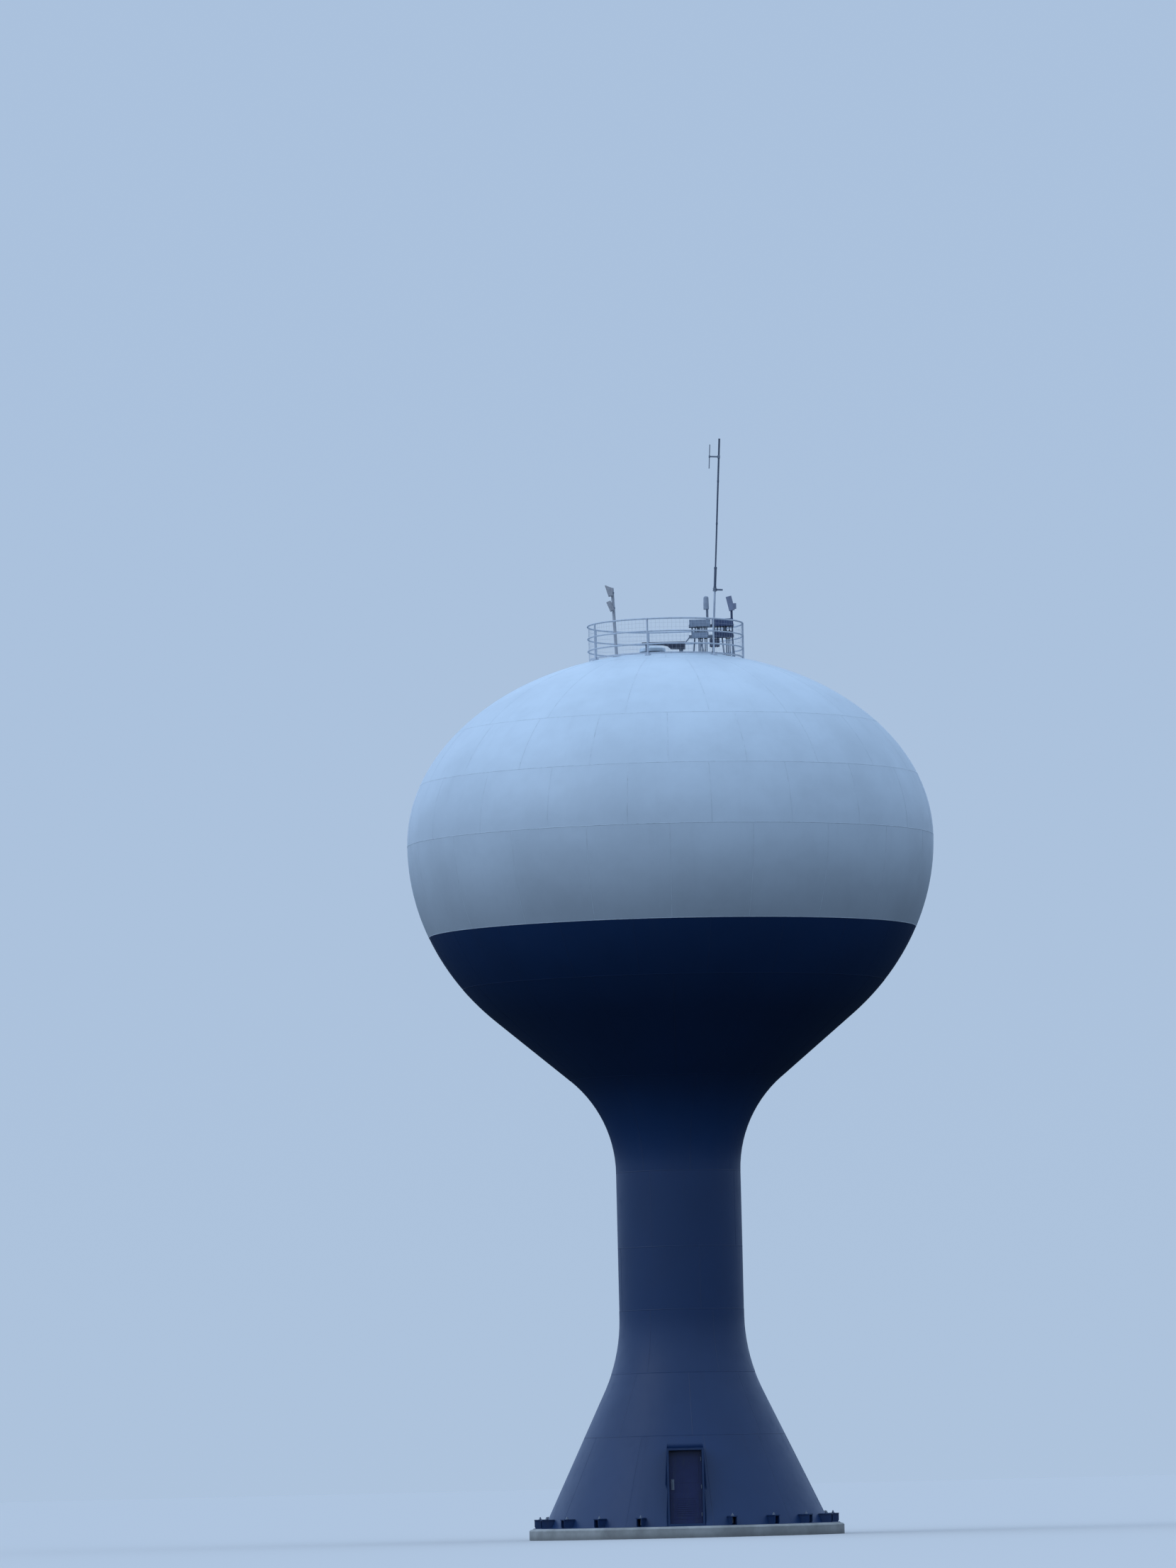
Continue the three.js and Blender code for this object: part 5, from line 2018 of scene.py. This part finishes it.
@dataclass
class CableTrough(Assembly):
    """The tapered, lidded trough that brings cables over the crown to the rack."""

    top: float = 25.765
    depths: Outline = ((-0.68, 0.034), (-0.08, 0.074), (0.06, 0.109), (0.15, 0.194), (0.57, 0.209))
    side_gap: float = 0.004
    lid: float = 0.014
    rib_shares: tuple[float, ...] = (0.15, 0.4, 0.65, 0.9)
    rib_half: float = 0.012
    leg_inset: float = 0.12
    leg_radii: tuple[float, float] = (0.021, 0.058)
    flange_lap: float = 0.04
    strut: float = 0.019
    strut_drop: float = 0.045
    strut_end: float = 25.888

    def build(self) -> None:
        """Builds the trough with its lid, ribs, legs and the strut to the rack."""
        low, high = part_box("cable_trough")
        thin, thick, top = self.depths[0][0], self.depths[-1][0], self.top
        y = (low.y + high.y) / 2
        draft = Draft()
        side = [(x, top - depth) for x, depth in self.depths]
        side += [(thick, top - 0.012), (thin, top - 0.012)]
        draft.prism(side, (low.y + self.side_gap, high.y - self.side_gap))
        draft.box((thin, low.y, top - self.lid), (thick, high.y, top))
        for share in self.rib_shares:
            x, half = thin + share * (thick - thin), self.rib_half
            draft.box((x - half, low.y + 0.001, top - 0.035), (x + half, high.y - 0.001, top - 0.002))
        for x, radius in zip((thin + self.leg_inset, thick - self.leg_inset), self.leg_radii):
            ground = self.ground(x, y)
            draft.post((x, y, ground - 0.004), 0.104, top - 0.05, radius, 18, 1)
            draft.rod(radius + self.flange_lap, -0.004, 0.01, shift(x, y, ground), 28, 1)
        start = Vector((thick - 0.01, y, top - self.strut_drop))
        end = Vector((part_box("equipment_rack")[0].x + 0.01, y, self.strut_end))
        draft.tube([start, start.lerp(end, 0.5), end], self.strut, 14, 1)
        draft.place(
            "cable_trough_cover", [self.finishes.dark, self.finishes.dull_zinc],
            Slot.DARK, "cable_trough", bevel=0.003
        )


@dataclass
class Studio:
    """Camera, light, backdrop and floor, set from where the tank sits in the photograph's frame."""

    frame_px: tuple[float, float] = (1659.0, 2212.0)
    axis_px: float = 945.5
    equator_px: float = 1187.5
    radius_px: float = 371.5
    look_up: float = math.radians(4.0)
    roll: float = math.radians(1.35)
    eye: float = 1.6
    sensor: float = 36.0
    clip: tuple[float, float] = (1.0, 6000.0)
    floor_reach: float = 2500.0
    floor_colour: Colour = (0.77, 0.732, 0.695)
    key_energy: float = 0.2
    key_spread: float = math.radians(40)
    key_colour: Colour = (0.86, 0.93, 1.0)
    key_aim: Place = (0.7, 0.35, -0.6)
    left_bias: float = 0.23
    light_stops: Stops = (
        (0.0, (0.008, 0.012, 0.016)),
        (0.49, (0.013, 0.022, 0.033)),
        (0.52, (0.37, 0.52, 0.78)),
        (0.62, (0.475, 0.665, 0.98)),
        (0.76, (0.525, 0.72, 1.03)),
        (1.0, (0.545, 0.755, 1.045)),
    )
    seen_stops: Stops = (
        (0.0, (0.40, 0.50, 0.66)),
        (0.5, (0.42, 0.545, 0.72)),
        (0.56, (0.405, 0.535, 0.725)),
        (1.0, (0.40, 0.53, 0.725)),
    )

    def camera(self, outline: TowerOutline) -> None:
        """Places the camera so that the tank falls where the photograph has it.

        Args:
            outline: The tower's outer face.
        """
        run = (outline.equator - self.eye) / math.tan(self.look_up)
        spot = Vector((0.0, -run, self.eye))
        target = Vector((0.0, 0.0, outline.equator))
        distance = (target - spot).length
        focal_px = self.radius_px / outline.radius * distance
        data = bpy.data.cameras.new("camera")
        data.sensor_width = self.sensor
        data.lens = focal_px * self.sensor / max(self.frame_px)
        data.clip_start, data.clip_end = self.clip
        made = bpy.data.objects.new("camera", data)
        bpy.context.scene.collection.objects.link(made)
        ahead = (target - spot).normalized()
        level_right = ahead.cross(Vector((0, 0, 1))).normalized()
        level_up = level_right.cross(ahead)
        right = level_right * math.cos(self.roll) - level_up * math.sin(self.roll)
        up = level_right * math.sin(self.roll) + level_up * math.cos(self.roll)
        per_m = focal_px / distance
        aim = target - right * ((self.axis_px - self.frame_px[0] / 2) / per_m)
        aim += up * ((self.equator_px - self.frame_px[1] / 2) / per_m)
        made.location = spot
        made.rotation_mode = "QUATERNION"
        level = (aim - spot).to_track_quat("-Z", "Y")
        made.rotation_quaternion = level @ Quaternion((0.0, 0.0, 1.0), -self.roll)
        bpy.context.scene.camera = made

    def floor(self) -> None:
        """Lays a plain pale floor that doesn't light the tank from below."""
        draft = Draft()
        draft.rod(self.floor_reach, -0.5, -0.002, None, 96)
        g = Graph("pale_floor")
        g.set(Base_Color=self.floor_colour)
        g.shader.inputs["Roughness"].default_value = 1.0
        g.shader.inputs["Specular IOR Level"].default_value = 0.0
        made = draft.to_object("floor", [g.material])
        made.visible_diffuse = False
        made.visible_glossy = False

    def world(self) -> None:
        """Sets the soft sky light, with a plain pale backdrop for what the camera sees."""
        world = bpy.data.worlds.new("studio")
        bpy.context.scene.world = world
        world.use_nodes = True
        world.node_tree.nodes.clear()
        nodes = Nodes(world.node_tree)
        aim = nodes.node("ShaderNodeTexCoord").outputs["Generated"]
        x, _, z = nodes.node("ShaderNodeSeparateXYZ", {0: aim}).outputs
        inputs = {0: x, 1: -self.left_bias, 2: 1.0}
        side = nodes.node("ShaderNodeMath", inputs, operation="MULTIPLY_ADD").outputs[0]
        light = self.sky(nodes, z, self.light_stops, side)
        seen = self.sky(nodes, z, self.seen_stops, 1.0)
        from_camera = nodes.node("ShaderNodeLightPath").outputs["Is Camera Ray"]
        blend = nodes.node("ShaderNodeMixShader", {0: from_camera, 1: light, 2: seen})
        nodes.node("ShaderNodeOutputWorld", {0: blend.outputs[0]})

    def sky(self, nodes: Nodes, height: Socket, stops: Stops, strength: Any) -> Socket:
        """Adds one backdrop whose colour changes with the height looked at.

        Args:
            nodes: The world's nodes.
            height: The height looked at, from -1 straight down to 1 straight up.
            stops: Share of the way up and colour, from the lowest.
            strength: Its strength, as a number or a socket.

        Returns:
            The backdrop's shader.
        """
        spread = nodes.node("ShaderNodeMapRange", {"Value": height, "From Min": -1.0}).outputs[0]
        ramp = nodes.node("ShaderNodeValToRGB", {0: spread})
        points = ramp.color_ramp.elements
        for point, (position, colour) in ((points[0], stops[0]), (points[1], stops[-1])):
            point.position, point.color = position, (*colour, 1.0)
        for position, colour in stops[1:-1]:
            points.new(position).color = (*colour, 1.0)
        inputs = {"Color": ramp.outputs[0], "Strength": strength}
        return nodes.node("ShaderNodeBackground", inputs).outputs[0]

    def lamp(self) -> None:
        """Adds the broad soft key light from the upper left of the front."""
        data = bpy.data.lights.new("key", "SUN")
        data.energy = self.key_energy
        data.angle = self.key_spread
        data.color = self.key_colour
        made = bpy.data.objects.new("key", data)
        bpy.context.scene.collection.objects.link(made)
        made.rotation_mode = "QUATERNION"
        made.rotation_quaternion = Vector(self.key_aim).to_track_quat("-Z", "Y")

    def build(self, outline: TowerOutline) -> None:
        """Sets the whole stage.

        Args:
            outline: The tower's outer face.
        """
        self.camera(outline)
        self.floor()
        self.world()
        self.lamp()
        bpy.context.scene.view_settings.view_transform = "Standard"


def main() -> None:
    """Builds the tower's looks, sub-assembly by sub-assembly."""
    logging.basicConfig(level=logging.INFO, format="%(name)s: %(message)s")
    outline = TowerOutline()
    finishes = Finishes()
    door = Doorway(outline, finishes)
    openings = RoofOpenings(outline, finishes)
    mast = Mast(outline, finishes)
    cutters = {"bell_lower": [door.cutter()], "crown_plate": openings.cutters()}
    SteelShell(outline, finishes).build(cutters)
    Footing(outline, finishes).build()
    door.build()
    openings.build()
    Handrail(outline, finishes).build()
    mast.build()
    EquipmentRack(outline, finishes, mast).build()
    StubAntennas(outline, finishes).build()
    LeaningPole(outline, finishes).build()
    CableTrough(outline, finishes).build()
    Studio().build(outline)


if __name__ == "__main__":
    main()
